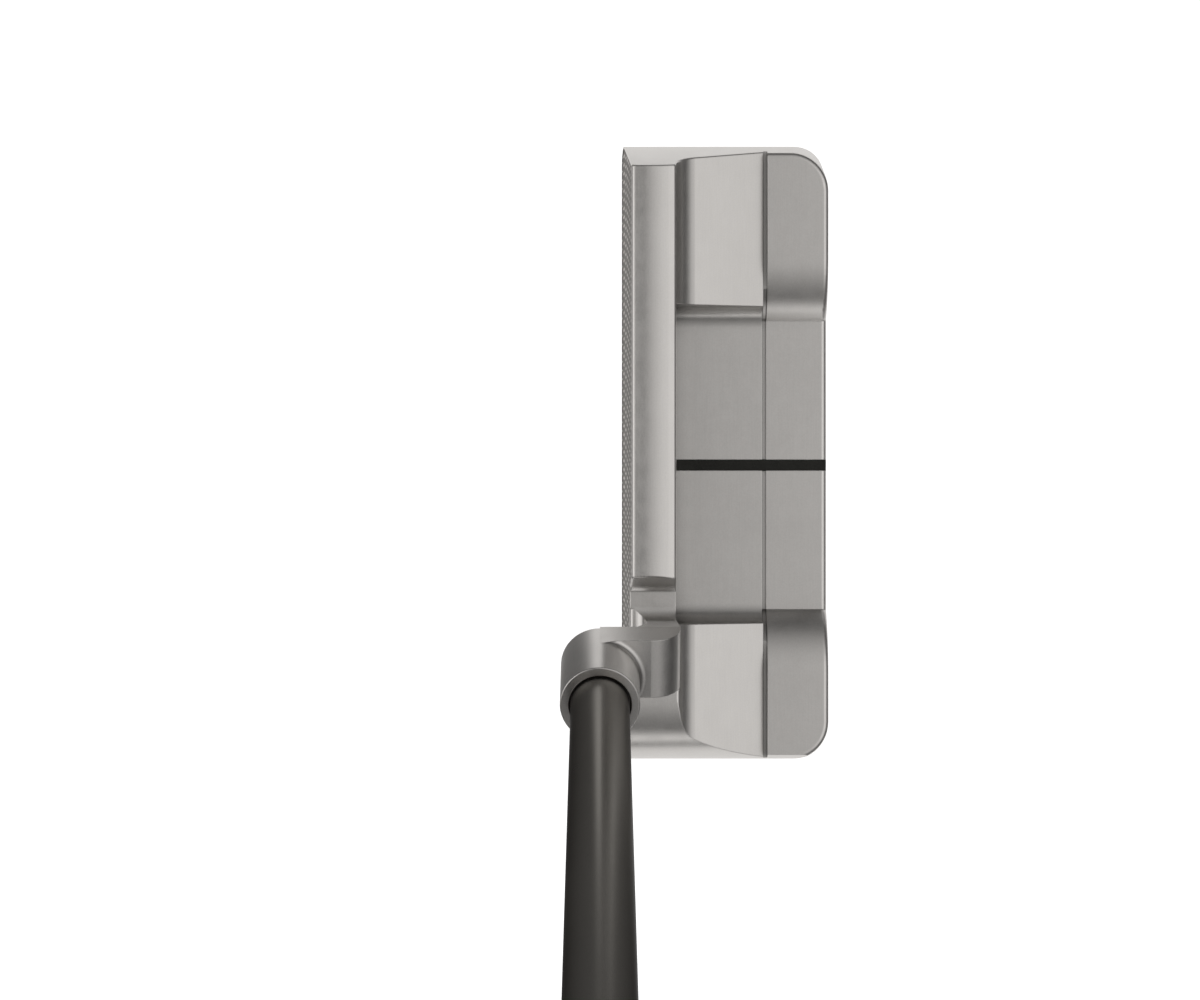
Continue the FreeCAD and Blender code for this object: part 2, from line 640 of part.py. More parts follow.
def neck_post():
    """The upright post: vertical sides that flare into the shelf, and a front that leans forward."""
    toe_x, toe_z = beside_shaft(-HOSEL_RADIUS, HOSEL_BOTTOM)
    heel_x, heel_z = beside_shaft(-HOSEL_RADIUS + ARM_WIDTH, HOSEL_BOTTOM)
    toe_top_x, toe_top_z = beside_shaft(-HOSEL_RADIUS, HOSEL_BOTTOM + POST_OVERLAP)
    heel_top_x, heel_top_z = beside_shaft(-HOSEL_RADIUS + ARM_WIDTH, HOSEL_BOTTOM + POST_OVERLAP)
    root = SHELF_HEIGHT - POST_OVERLAP
    from_the_face = [
        (toe_x - POST_FOOT_RADIUS, root, 0),
        (toe_x - POST_FOOT_RADIUS, SHELF_HEIGHT, 0),
        (toe_x, SHELF_HEIGHT, POST_FOOT_RADIUS),
        (toe_x, toe_z, 0),
        (toe_top_x, toe_top_z, 0),
        (heel_top_x, heel_top_z, 0),
        (heel_x, heel_z, 0),
        (heel_x, SHELF_HEIGHT, POST_FOOT_RADIUS),
        (heel_x + POST_FOOT_RADIUS, SHELF_HEIGHT, 0),
        (heel_x + POST_FOOT_RADIUS, root, 0),
    ]
    waist = (SHELF_HEIGHT + toe_z) / 2
    above = toe_z + MARGIN
    forward = (POST_FOOT_FRONT - POST_TOP_FRONT) * (above - waist) / (toe_z - waist)
    from_the_toe = [
        (TOPLINE_REAR, root, 0),
        (TOPLINE_REAR, above, 0),
        (POST_FOOT_FRONT - forward, above, 0),
        (POST_FOOT_FRONT, waist, POST_WAIST_RADIUS),
        (POST_FOOT_FRONT, SHELF_HEIGHT, POST_FOOT_RADIUS),
        (POST_FOOT_FRONT - POST_FOOT_RADIUS, SHELF_HEIGHT, 0),
        (POST_FOOT_FRONT - POST_FOOT_RADIUS, root, 0),
    ]
    width = prism(from_the_face, in_xz, -HALF_DEPTH, HALF_DEPTH)
    depth = prism(from_the_toe, in_yz, toe_x - MARGIN, heel_x - toe_x + 2 * MARGIN)
    return width.common(depth)


def neck_arm():
    """The arm from the post to the hosel, with its rounded elbow, in the shaft's own frame."""
    reach = TOPLINE_REAR - SHAFT_GROUND_Y
    corners = [
        (0, HOSEL_BOTTOM, 0),
        (reach, HOSEL_BOTTOM, 0),
        (reach, ARM_TOP, ARM_ELBOW_RADIUS),
        (0, ARM_TOP, 0),
    ]
    return prism(corners, in_yz, -HOSEL_RADIUS, ARM_WIDTH)


def hosel():
    """The tube that takes the shaft, and the small fillet where it leaves the arm."""
    tube = turned([
        (0, HOSEL_BOTTOM, 0),
        (HOSEL_RADIUS, HOSEL_BOTTOM, HOSEL_EDGE_RADIUS),
        (HOSEL_RADIUS, HOSEL_TOP, HOSEL_LIP_RADIUS),
        (HOSEL_RADIUS - HOSEL_LIP_WIDTH, HOSEL_TOP, 0),
        (BORE_RADIUS, HOSEL_TOP - COUNTERSINK_DEPTH, 0),
        (BORE_RADIUS, SHAFT_TIP, 0),
        (0, SHAFT_TIP, 0),
    ])
    inside = HOSEL_RADIUS - HOSEL_LIP_WIDTH
    outside = HOSEL_RADIUS + ARM_FILLET_RADIUS
    ring = turned([
        (inside, ARM_TOP - HOSEL_LIP_WIDTH, 0),
        (outside, ARM_TOP - HOSEL_LIP_WIDTH, 0),
        (outside, ARM_TOP, 0),
        (HOSEL_RADIUS, ARM_TOP, ARM_FILLET_RADIUS),
        (HOSEL_RADIUS, ARM_TOP + ARM_FILLET_RADIUS, 0),
        (inside, ARM_TOP + ARM_FILLET_RADIUS, 0),
    ])
    over_arm = block(-HOSEL_RADIUS, ARM_WIDTH - HOSEL_RADIUS, 0, 2 * outside, HOSEL_BOTTOM, HOSEL_TOP)
    return tube.fuse(ring.common(over_arm))


def neck():
    bore = Part.makeCylinder(BORE_RADIUS, HOSEL_LENGTH, FreeCAD.Vector(0, 0, SHAFT_TIP))
    upper = neck_arm().cut(bore).fuse(hosel())
    return along_shaft(upper).fuse(neck_post())


def shaft():
    """The tapered steel tube, parallel inside the hosel."""
    tip, butt = SHAFT_TIP_RADIUS, SHAFT_BUTT_DIAMETER / 2
    return along_shaft(turned([
        (tip - SHAFT_WALL, SHAFT_TIP, 0),
        (tip, SHAFT_TIP, 0),
        (tip, HOSEL_TOP, 0),
        (butt, SHAFT_BUTT, 0),
        (butt - SHAFT_WALL, SHAFT_BUTT, 0),
        (tip - SHAFT_WALL, HOSEL_TOP, 0),
    ]))


def hosel_epoxy():
    """The adhesive between the shaft's tip and the hosel's bore."""
    top = HOSEL_TOP - COUNTERSINK_DEPTH - EPOXY_TOP_GAP
    return along_shaft(turned([
        (SHAFT_TIP_RADIUS, SHAFT_TIP, 0),
        (BORE_RADIUS, SHAFT_TIP, 0),
        (BORE_RADIUS, top, 0),
        (SHAFT_TIP_RADIUS, top, 0),
    ]))


def shaft_tip_plug():
    """The plug inside the shaft's tip."""
    radius = SHAFT_TIP_RADIUS - SHAFT_WALL
    top = SHAFT_TIP + TIP_PLUG_LENGTH
    return along_shaft(turned([
        (0, SHAFT_TIP, 0),
        (radius, SHAFT_TIP, 0),
        (radius, top - TIP_PLUG_CHAMFER, 0),
        (radius - TIP_PLUG_CHAMFER, top, 0),
        (0, top, 0),
    ]))


def taped_radius(height):
    """Outer radius of the tape on the shaft."""
    return shaft_radius(height) + GRIP_TAPE_THICKNESS


def grip_tape():
    """The double-sided tape between the shaft and the grip."""
    return along_shaft(turned([
        (shaft_radius(GRIP_START), GRIP_START, 0),
        (taped_radius(GRIP_START), GRIP_START, 0),
        (taped_radius(SHAFT_BUTT), SHAFT_BUTT, 0),
        (shaft_radius(SHAFT_BUTT), SHAFT_BUTT, 0),
    ]))


def grip_bore():
    """The space inside the grip: the taped shaft and, beyond its end, the cap's spigot."""
    return turned([
        (0, GRIP_START, 0),
        (taped_radius(GRIP_START), GRIP_START, 0),
        (taped_radius(SHAFT_BUTT), SHAFT_BUTT, 0),
        (taped_radius(SHAFT_BUTT), GRIP_CAP_START, 0),
        (0, GRIP_CAP_START, 0),
    ])


def grip_outline(station, inset):
    """The grip's outline at one station, moved inwards: flat towards -X, round towards +X."""
    _, width, flat, belly = station
    half = width / 2 - inset
    front = -flat + inset
    back = belly - inset
    round_back = GRIP_BACK_ROUNDING * half
    round_front = GRIP_FRONT_ROUNDING * half
    return [
        (front, -half, round_front),
        (back, -half, round_back),
        (back, half, round_back),
        (front, half, round_front),
    ]


def grip_loft(inset):
    """The grip's body between the mouth ring and the cap, moved inwards."""
    low = GRIP_START + GRIP_MOUTH_LENGTH
    wires = []
    for station in GRIP_STATIONS:
        wire = rounded_wire(grip_outline(station, inset), in_xy)
        wire.translate(FreeCAD.Vector(0, 0, low + station[0] * (GRIP_CAP_START - low)))
        wires.append(wire)
    return Part.makeLoft(wires, True, False)


def grip_skin():
    """The thin outer skin of the grip."""
    return along_shaft(grip_loft(0).cut(grip_loft(GRIP_SKIN_THICKNESS)))


def grip_underlisting():
    """The foam between the taped shaft and the skin."""
    return along_shaft(grip_loft(GRIP_SKIN_THICKNESS).cut(grip_bore()))


def grip_mouth_ring():
    """The moulded ring that closes the lower end of the grip."""
    top = GRIP_START + GRIP_MOUTH_LENGTH
    lip = GRIP_MOUTH_DIAMETER / 2 - GRIP_MOUTH_TAPER
    return along_shaft(turned([
        (taped_radius(GRIP_START), GRIP_START, 0),
        (lip, GRIP_START, GRIP_MOUTH_ROUNDING),
        (GRIP_MOUTH_DIAMETER / 2, top, 0),
        (taped_radius(top), top, 0),
    ]))


def grip_butt_cap():
    """The end cap with its spigot and vent hole."""
    plate = prism(grip_outline(GRIP_STATIONS[-1], 0), in_xy, GRIP_CAP_START, GRIP_CAP_THICKNESS)
    rim = edges_on(plate, None, lambda p: abs(p.z - CLUB_LENGTH) < TINY)
    plate = plate.makeFillet(GRIP_CAP_ROUNDING, rim)
    spigot = turned([
        (0, SHAFT_BUTT, 0),
        (taped_radius(SHAFT_BUTT) - GRIP_SPIGOT_CLEARANCE, SHAFT_BUTT, 0),
        (taped_radius(SHAFT_BUTT) - GRIP_SPIGOT_CLEARANCE, GRIP_CAP_START, 0),
        (0, GRIP_CAP_START, 0),
    ])
    vent = Part.makeCylinder(VENT_DIAMETER / 2, GRIP_CAP_THICKNESS + GRIP_SPIGOT_LENGTH + MARGIN,
                             FreeCAD.Vector(0, 0, SHAFT_BUTT))
    return along_shaft(plate.fuse(spigot).cut(vent))


def export(name, shape):
    shape.exportStep("parts/" + name + ".step")
    print(name, "volume", round(shape.Volume, 1), "solids", len(shape.Solids), "valid", shape.isValid())


os.makedirs("parts", exist_ok=True)
BODY = head_body()
PARTS = {
    "head": head(BODY),
    "sight_line_fill": sight_paint(BODY),
    "toe_weight": weight(WEIGHT_TOE_X),
    "heel_weight": weight(WEIGHT_HEEL_X),
    "weight_seals": Part.makeCompound([weight_seal(WEIGHT_TOE_X), weight_seal(WEIGHT_HEEL_X)]),
    "sole_plate": sole_plate(),
    "sole_plate_screws": sole_plate_screws(),
    "hosel_epoxy": hosel_epoxy(),
    "shaft": shaft(),
    "shaft_tip_plug": shaft_tip_plug(),
    "grip_tape": grip_tape(),
    "grip_underlisting": grip_underlisting(),
    "grip_skin": grip_skin(),
    "grip_mouth_ring": grip_mouth_ring(),
    "grip_butt_cap": grip_butt_cap(),
}
for name, shape in PARTS.items():
    export(name, shape)
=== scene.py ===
"""The looks of a right-handed mallet putter: milled head, sole hardware, shaft and grip."""

import json
import logging
import math
from dataclasses import dataclass, field
from enum import Enum

import bmesh
import bpy
from mathutils import Matrix, Vector
from mathutils.bvhtree import BVHTree


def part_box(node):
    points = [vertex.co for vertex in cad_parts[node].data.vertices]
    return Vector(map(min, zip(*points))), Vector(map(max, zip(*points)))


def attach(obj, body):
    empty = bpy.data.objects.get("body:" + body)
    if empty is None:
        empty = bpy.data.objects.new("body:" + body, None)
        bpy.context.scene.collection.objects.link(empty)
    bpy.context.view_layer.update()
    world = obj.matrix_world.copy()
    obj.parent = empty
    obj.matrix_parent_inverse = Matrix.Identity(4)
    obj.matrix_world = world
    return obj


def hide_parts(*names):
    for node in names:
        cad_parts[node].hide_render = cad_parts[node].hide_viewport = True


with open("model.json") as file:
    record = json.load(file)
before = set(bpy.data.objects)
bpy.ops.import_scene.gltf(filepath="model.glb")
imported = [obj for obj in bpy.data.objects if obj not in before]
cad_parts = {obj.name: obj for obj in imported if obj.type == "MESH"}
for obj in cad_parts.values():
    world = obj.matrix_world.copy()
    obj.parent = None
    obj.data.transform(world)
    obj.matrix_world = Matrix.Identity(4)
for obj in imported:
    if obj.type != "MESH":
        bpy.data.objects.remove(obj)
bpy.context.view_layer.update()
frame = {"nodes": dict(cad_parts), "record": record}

LOG = logging.getLogger("putter")
MM = 0.001
BODY = "root"
MERGE_DISTANCE = 0.001 * MM
FLAT_ANGLE = math.radians(0.3)
NORMALS = "cad_normal"
CUT_DEPTH = "cut_depth"
SHARP_ANGLE = math.radians(30)
NOISE_SPREAD = (0.3, 0.7)
GRAIN_SPREAD = (0.32, 0.68)
OPEN_RANGE = (0.25, 0.95)
WHITE = (1.0, 1.0, 1.0, 1)
WARM_WHITE = (1.0, 0.985, 0.97, 1)

Colour = tuple[float, float, float]


class Direction(Enum):
    """Which way the fine lines of a finish run."""

    ALONG_HEAD = (0.03, 1.0, 1.0)
    UPRIGHT = (1.0, 1.0, 0.03)


# ---------------------------------------------------------------- shader building


class NodeSheet:
    """A node tree that is filled one call at a time."""

    def __init__(self, tree: bpy.types.NodeTree) -> None:
        """Starts an empty sheet.

        Args:
            tree: The node tree to fill.
        """
        self.tree = tree
        tree.nodes.clear()

    def add(self, kind: str, inputs: dict | None = None, **settings: object) -> bpy.types.Node:
        """Adds one node.

        Args:
            kind: The node's type name.
            inputs: Values or output sockets for its inputs, by name or place.
            **settings: Properties of the node.

        Returns:
            The new node.
        """
        node = self.tree.nodes.new(kind)
        for name, value in settings.items():
            setattr(node, name, value)
        for key, value in (inputs or {}).items():
            if isinstance(value, bpy.types.NodeSocket):
                self.tree.links.new(value, node.inputs[key])
            else:
                node.inputs[key].default_value = value
        return node

    def math(self, operation: str, first: object, second: object = 0.0) -> bpy.types.NodeSocket:
        """Adds a Math node.

        Args:
            operation: The operation's name.
            first: Its first value or socket.
            second: Its second value or socket.

        Returns:
            The node's result.
        """
        node = self.add("ShaderNodeMath", {0: first, 1: second}, operation=operation)
        return node.outputs[0]

    def blend(self, *parts: tuple[bpy.types.NodeSocket, float]) -> bpy.types.NodeSocket:
        """Adds up values by their shares.

        Args:
            *parts: Each value's socket and its share.

        Returns:
            The sum.
        """
        total = None
        for value, share in reversed(parts):
            part = self.math("MULTIPLY", value, share)
            total = part if total is None else self.math("ADD", part, total)
        return total

    def between(self, value: object, low: float, high: float,
                to_low: float = 0.0, to_high: float = 1.0) -> bpy.types.NodeSocket:
        """Maps a value smoothly from one range to another.

        Args:
            value: The socket to map.
            low: Where the range starts.
            high: Where the range ends.
            to_low: The result at the start.
            to_high: The result at the end.

        Returns:
            The mapped value.
        """
        node = self.add("ShaderNodeMapRange",
                        {"Value": value, "From Min": low, "From Max": high,
                         "To Min": to_low, "To Max": to_high},
                        interpolation_type="SMOOTHSTEP")
        return node.outputs["Result"]

    def shade(self, amount: object, dark: Colour, light: Colour) -> bpy.types.NodeSocket:
        """Mixes from one colour to another.

        Args:
            amount: The socket that gives the share of the light colour.
            dark: The colour at 0.
            light: The colour at 1.

        Returns:
            The mixed colour.
        """
        node = self.add("ShaderNodeMix", {0: amount, 6: (*dark, 1), 7: (*light, 1)},
                        data_type="RGBA")
        return node.outputs[2]

    def times(self, colour: bpy.types.NodeSocket,
              factor: bpy.types.NodeSocket) -> bpy.types.NodeSocket:
        """Scales a colour.

        Args:
            colour: The colour's socket.
            factor: The socket of the factor.

        Returns:
            The scaled colour.
        """
        node = self.add("ShaderNodeVectorMath", {0: colour, "Scale": factor}, operation="SCALE")
        return node.outputs[0]


def socket_group(name: str, inputs: dict[str, tuple[str, object]],
                 outputs: list[str]) -> NodeSheet:
    """Starts a shader node group.

    Args:
        name: The group's name.
        inputs: Socket type and default value of each input.
        outputs: Names of its outputs, which are all values.

    Returns:
        The sheet of the new group.
    """
    tree = bpy.data.node_groups.new(name, "ShaderNodeTree")
    sheet = NodeSheet(tree)
    for label, (kind, value) in inputs.items():
        socket = tree.interface.new_socket(label, in_out="INPUT", socket_type=kind)
        if value is not None:
            socket.default_value = value
    for label in outputs:
        tree.interface.new_socket(label, in_out="OUTPUT", socket_type="NodeSocketFloat")
    return sheet


class Effects:
    """The shader groups that several finishes share."""

    coarse_scale: float = 0.12
    fine_share: float = 0.6

    def __init__(self) -> None:
        """Builds every group once."""
        self.grain = self._grain()
        self.lines = self._lines()
        self.handling = self._handling()

    def _grain(self) -> bpy.types.NodeTree:
        """Fine blasted grain.

        Returns:
            The group, with a shade and a height from 0 to 1.
        """
        sheet = socket_group("fine_grain", {"Vector": ("NodeSocketVector", None),
                                            "Size": ("NodeSocketFloat", 0.2)},
                             ["Shade", "Height"])
        given = sheet.add("NodeGroupInput")
        scale = sheet.math("DIVIDE", 1 / MM, given.outputs["Size"])
        fine = sheet.add("ShaderNodeTexNoise", {"Vector": given.outputs["Vector"], "Scale": scale,
                                                "Detail": 2.0, "Roughness": 0.6})
        coarse = sheet.add("ShaderNodeTexNoise",
                           {"Vector": given.outputs["Vector"], "Detail": 3.0, "Roughness": 0.6,
                            "Scale": sheet.math("MULTIPLY", scale, self.coarse_scale)})
        mixed = sheet.blend((fine.outputs["Fac"], self.fine_share),
                            (coarse.outputs["Fac"], 1 - self.fine_share))
        sheet.add("NodeGroupOutput", {"Shade": sheet.between(mixed, *GRAIN_SPREAD),
                                      "Height": fine.outputs["Fac"]})
        return sheet.tree

    @staticmethod
    def _lines() -> bpy.types.NodeTree:
        """Fine parallel machining lines, stretched along one axis.

        Returns:
            The group, with a shade and a height from 0 to 1.
        """
        sheet = socket_group("tool_lines", {"Vector": ("NodeSocketVector", None),
                                            "Stretch": ("NodeSocketVector", (1, 1, 1)),
                                            "Pitch": ("NodeSocketFloat", 0.3)},
                             ["Shade", "Height"])
        given = sheet.add("NodeGroupInput")
        drawn = sheet.add("ShaderNodeVectorMath",
                          {0: given.outputs["Vector"], 1: given.outputs["Stretch"]},
                          operation="MULTIPLY")
        scale = sheet.math("DIVIDE", 1 / MM, given.outputs["Pitch"])
        noise = sheet.add("ShaderNodeTexNoise", {"Vector": drawn.outputs[0], "Scale": scale,
                                                 "Detail": 3.0, "Roughness": 0.55})
        sheet.add("NodeGroupOutput", {"Shade": sheet.between(noise.outputs["Fac"], *NOISE_SPREAD),
                                      "Height": noise.outputs["Fac"]})
        return sheet.tree

    @staticmethod
    def _handling() -> bpy.types.NodeTree:
        """Slow cloudy variation, as hands and cleaning leave it.

        Returns:
            The group, with one shade from 0 to 1.
        """
        sheet = socket_group("handling", {"Vector": ("NodeSocketVector", None),
                                          "Size": ("NodeSocketFloat", 12.0)}, ["Shade"])
        given = sheet.add("NodeGroupInput")
        scale = sheet.math("DIVIDE", 1 / MM, given.outputs["Size"])
        noise = sheet.add("ShaderNodeTexNoise", {"Vector": given.outputs["Vector"], "Scale": scale,
                                                 "Detail": 4.0, "Roughness": 0.62,
                                                 "Distortion": 0.4})
        sheet.add("NodeGroupOutput", {"Shade": sheet.between(noise.outputs["Fac"], *NOISE_SPREAD)})
        return sheet.tree


class MaterialSheet(NodeSheet):
    """A material's node tree with its Principled shader and object coordinates."""

    def __init__(self, name: str, effects: Effects) -> None:
        """Starts the material.

        Args:
            name: The material's name.
            effects: The shared shader groups.
        """
        self.material = bpy.data.materials.new(name)
        self.material.use_nodes = True
        super().__init__(self.material.node_tree)
        self.effects = effects
        self.place = self.add("ShaderNodeTexCoord").outputs["Object"]
        self.surface = self.add("ShaderNodeBsdfPrincipled")
        self.add("ShaderNodeOutputMaterial", {"Surface": self.surface.outputs[0]})

    def effect(self, group: bpy.types.NodeTree, inputs: dict) -> bpy.types.Node:
        """Places a shared group.

        Args:
            group: One of the shared groups.
            inputs: Its inputs; the object's coordinates are used if no Vector is given.

        Returns:
            The group's node.
        """
        return self.add("ShaderNodeGroup", {"Vector": self.place, **inputs}, node_tree=group)

    def centred(self, centre: Vector) -> bpy.types.NodeSocket:
        """Object coordinates with their origin moved to a point.

        Args:
            centre: The new origin, in the row frame.

        Returns:
            The moved coordinates.
        """
        node = self.add("ShaderNodeMapping", {"Vector": self.place, "Location": centre},
                        vector_type="TEXTURE")
        return node.outputs[0]

    def set(self, **values: object) -> None:
        """Sets the shader's own sockets, where an underscore stands for a space."""
        for name, value in values.items():
            socket = self.surface.inputs[name.replace("_", " ")]
            if isinstance(value, bpy.types.NodeSocket):
                self.tree.links.new(value, socket)
            else:
                socket.default_value = value

    def relief(self, height: bpy.types.NodeSocket, depth: float, edge: float = 0.0) -> None:
        """Gives the surface a fine relief and, if asked, softly broken edges.

        Args:
            height: The relief's height from 0 to 1.
            depth: Its depth in millimetres.
            edge: Radius of the broken edges in millimetres.
        """
        bump = self.add("ShaderNodeBump", {"Height": height, "Distance": depth * MM,
                                           "Strength": 1.0})
        if edge:
            bevel = self.add("ShaderNodeBevel", {"Radius": edge * MM}, samples=6)
            self.tree.links.new(bevel.outputs[0], bump.inputs["Normal"])
        self.set(Normal=bump.outputs[0])

    def painted_hollow_shade(self, reach: float, darkest: float) -> bpy.types.NodeSocket:
        """Painted shade in grooves and inner corners: the base colour darkens where ambient
        occlusion finds them.

        Args:
            reach: How far the painted shade reaches from a groove or corner, in millimetres.
            darkest: The factor in the deepest groove or corner.

        Returns:
            A factor from darkest to 1.
        """
        cover = self.add("ShaderNodeAmbientOcclusion", {"Distance": reach * MM}, samples=8)
        return self.between(cover.outputs["AO"], *OPEN_RANGE, darkest, 1.0)


# ---------------------------------------------------------------- finishes


@dataclass(frozen=True)
class SatinSteel:
    """Milled stainless steel, blasted to a fine satin.

    Its shares are those of the grain, the lines and the clouds.
    """

    name: str = "satin_steel"
    dark: Colour = (0.585, 0.572, 0.557)
    light: Colour = (0.665, 0.652, 0.636)
    roughness: tuple[float, float] = (0.28, 0.35)
    grain: float = 0.30
    relief: float = 0.0022
    edge: float = 0.22
    lines: Direction = Direction.ALONG_HEAD
    line_pitch: float = 0.16
    line_relief: float = 0.4
    cloud: float = 9.0
    shares: tuple[float, float, float] = (0.55, 0.25, 0.20)
    # Painted shade in grooves and inner corners: its darkest factor, then its reach in millimetres.
    painted_shade: float = 0.45
    painted_shade_reach: float = 4.5

    def make(self, effects: Effects) -> bpy.types.Material:
        """Builds the finish.

        Args:
            effects: The shared shader groups.

        Returns:
            The material.
        """
        sheet = MaterialSheet(self.name, effects)
        grain = sheet.effect(effects.grain, {"Size": self.grain})
        lines = sheet.effect(effects.lines, {"Pitch": self.line_pitch,
                                             "Stretch": self.lines.value})
        cloud = sheet.effect(effects.handling, {"Size": self.cloud})
        shades = (group.outputs["Shade"] for group in (grain, lines, cloud))
        colour = sheet.shade(sheet.blend(*zip(shades, self.shares)), self.dark, self.light)
        # Painted shade: the base colour darkens in grooves and inner corners.
        painted_shade = sheet.painted_hollow_shade(self.painted_shade_reach, self.painted_shade)
        sheet.set(Base_Color=sheet.times(colour, painted_shade), Metallic=1.0,
                  Roughness=sheet.between(grain.outputs["Shade"], 0, 1, *self.roughness))
        height = sheet.math("ADD", grain.outputs["Height"],
                            sheet.math("MULTIPLY", lines.outputs["Height"], self.line_relief))
        sheet.relief(height, self.relief, self.edge)
        return sheet.material


@dataclass(frozen=True)
class FlyCutSteel:
    """The face's steel: a painted highlight on the ridges that the cutter leaves and painted shade
    in its paths.
    """

    name: str = "fly_cut_steel"
    # The path colour is painted shade, dark enough to darken the whole face; the ridge colour is
    # partly the steel's own tone, partly painted highlight.
    path: Colour = (0.11, 0.108, 0.105)
    ridge: Colour = (0.80, 0.785, 0.77)
    grazing: Colour = (0.46, 0.45, 0.44)
    ridge_depths: tuple[float, float] = (0.90, 0.45)
    line_pitch: float = 0.12
    line_share: float = 0.15
    cloud: float = 7.0
    cloud_range: tuple[float, float] = (0.7, 1.0)
    roughness: tuple[float, float] = (0.28, 0.42)
    relief: float = 0.006

    def make(self, effects: Effects) -> bpy.types.Material:
        """Builds the finish.

        Args:
            effects: The shared shader groups.

        Returns:
            The material.
        """
        sheet = MaterialSheet(self.name, effects)
        depth = sheet.add("ShaderNodeAttribute", attribute_name=CUT_DEPTH).outputs["Fac"]
        lines = sheet.effect(effects.lines, {"Pitch": self.line_pitch,
                                             "Stretch": Direction.UPRIGHT.value})
        cloud = sheet.effect(effects.handling, {"Size": self.cloud})
        # Painted light on the real cut pattern: the share of the ridges' painted highlight against
        # the paths' painted shade, varied at random by the clouds.
        ridge_highlight_share = sheet.math("MULTIPLY", sheet.between(depth, *self.ridge_depths),
                          sheet.between(cloud.outputs["Shade"], 0, 1, *self.cloud_range))
        fine = sheet.math("MULTIPLY", lines.outputs["Shade"], self.line_share)
        ridge_highlight_share = sheet.math("ADD", ridge_highlight_share, fine)
        sheet.set(Base_Color=sheet.shade(ridge_highlight_share, self.path, self.ridge), Metallic=1.0,
                  Specular_Tint=(*self.grazing, 1.0),
                  Roughness=sheet.between(lines.outputs["Shade"], 0, 1, *self.roughness))
        sheet.relief(lines.outputs["Height"], self.relief)
        return sheet.material


@dataclass(frozen=True)
class TurnedSteel:
    """Steel turned on a lathe: fine rings round an upright axis."""

    name: str
    centre: Vector
    colour: Colour = (0.50, 0.49, 0.48)
    darker: float = 0.8
    ring_pitch: float = 0.18
    ring_share: float = 0.7
    cloud: float = 5.0
    roughness: tuple[float, float] = (0.22, 0.34)
    relief: float = 0.006
    edge: float = 0.12
    # Painted shade in grooves and inner corners: its darkest factor, then its reach in millimetres.
    painted_shade: float = 0.4
    painted_shade_reach: float = 0.8

    def make(self, effects: Effects) -> bpy.types.Material:
        """Builds the finish.

        Args:
            effects: The shared shader groups.

        Returns:
            The material.
        """
        sheet = MaterialSheet(self.name, effects)
        parts = sheet.add("ShaderNodeSeparateXYZ", {0: sheet.centred(self.centre)})
        flat = sheet.add("ShaderNodeCombineXYZ", {"X": parts.outputs[0], "Y": parts.outputs[1]})
        radius = sheet.add("ShaderNodeVectorMath", {0: flat.outputs[0]}, operation="LENGTH")
        rings = sheet.add("ShaderNodeTexNoise",
                          {"W": radius.outputs["Value"], "Scale": 1 / (self.ring_pitch * MM),
                           "Detail": 2.0}, noise_dimensions="1D")
        cloud = sheet.effect(effects.handling, {"Size": self.cloud})
        shade = sheet.blend((rings.outputs["Fac"], self.ring_share),
                            (cloud.outputs["Shade"], 1 - self.ring_share))
        dark = tuple(self.darker * part for part in self.colour)
        colour = sheet.shade(shade, dark, self.colour)
        # Painted shade: the base colour darkens in grooves and inner corners.
        painted_shade = sheet.painted_hollow_shade(self.painted_shade_reach, self.painted_shade)
        sheet.set(Base_Color=sheet.times(colour, painted_shade), Metallic=1.0,
                  Roughness=sheet.between(cloud.outputs["Shade"], 0, 1, *self.roughness))
        sheet.relief(rings.outputs["Fac"], self.relief, self.edge)
        return sheet.material


@dataclass(frozen=True)
class Coating:
    """A smooth coat, bare metal or hard resin with a fine grain."""

    name: str
    dark: Colour
    light: Colour
    metallic: float = 1.0
    roughness: tuple[float, float] = (0.26, 0.34)
    grain: float = 0.15
    relief: float = 0.001
    edge: float = 0.0
    cloud: float = 25.0
    cloud_share: float = 0.5
    grazing: float = 1.0

    def make(self, effects: Effects) -> bpy.types.Material:
        """Builds the finish.

        Args:
            effects: The shared shader groups.

        Returns:
            The material.
        """
        sheet = MaterialSheet(self.name, effects)
        grain = sheet.effect(effects.grain, {"Size": self.grain})
        cloud = sheet.effect(effects.handling, {"Size": self.cloud})
        shade = sheet.blend((grain.outputs["Shade"], 1 - self.cloud_share),
                            (cloud.outputs["Shade"], self.cloud_share))
        sheet.set(Base_Color=sheet.shade(shade, self.dark, self.light), Metallic=self.metallic,
                  Specular_Tint=(self.grazing, self.grazing, self.grazing, 1.0),
                  Roughness=sheet.between(cloud.outputs["Shade"], 0, 1, *self.roughness))
        sheet.relief(grain.outputs["Height"], self.relief, self.edge)
        return sheet.material


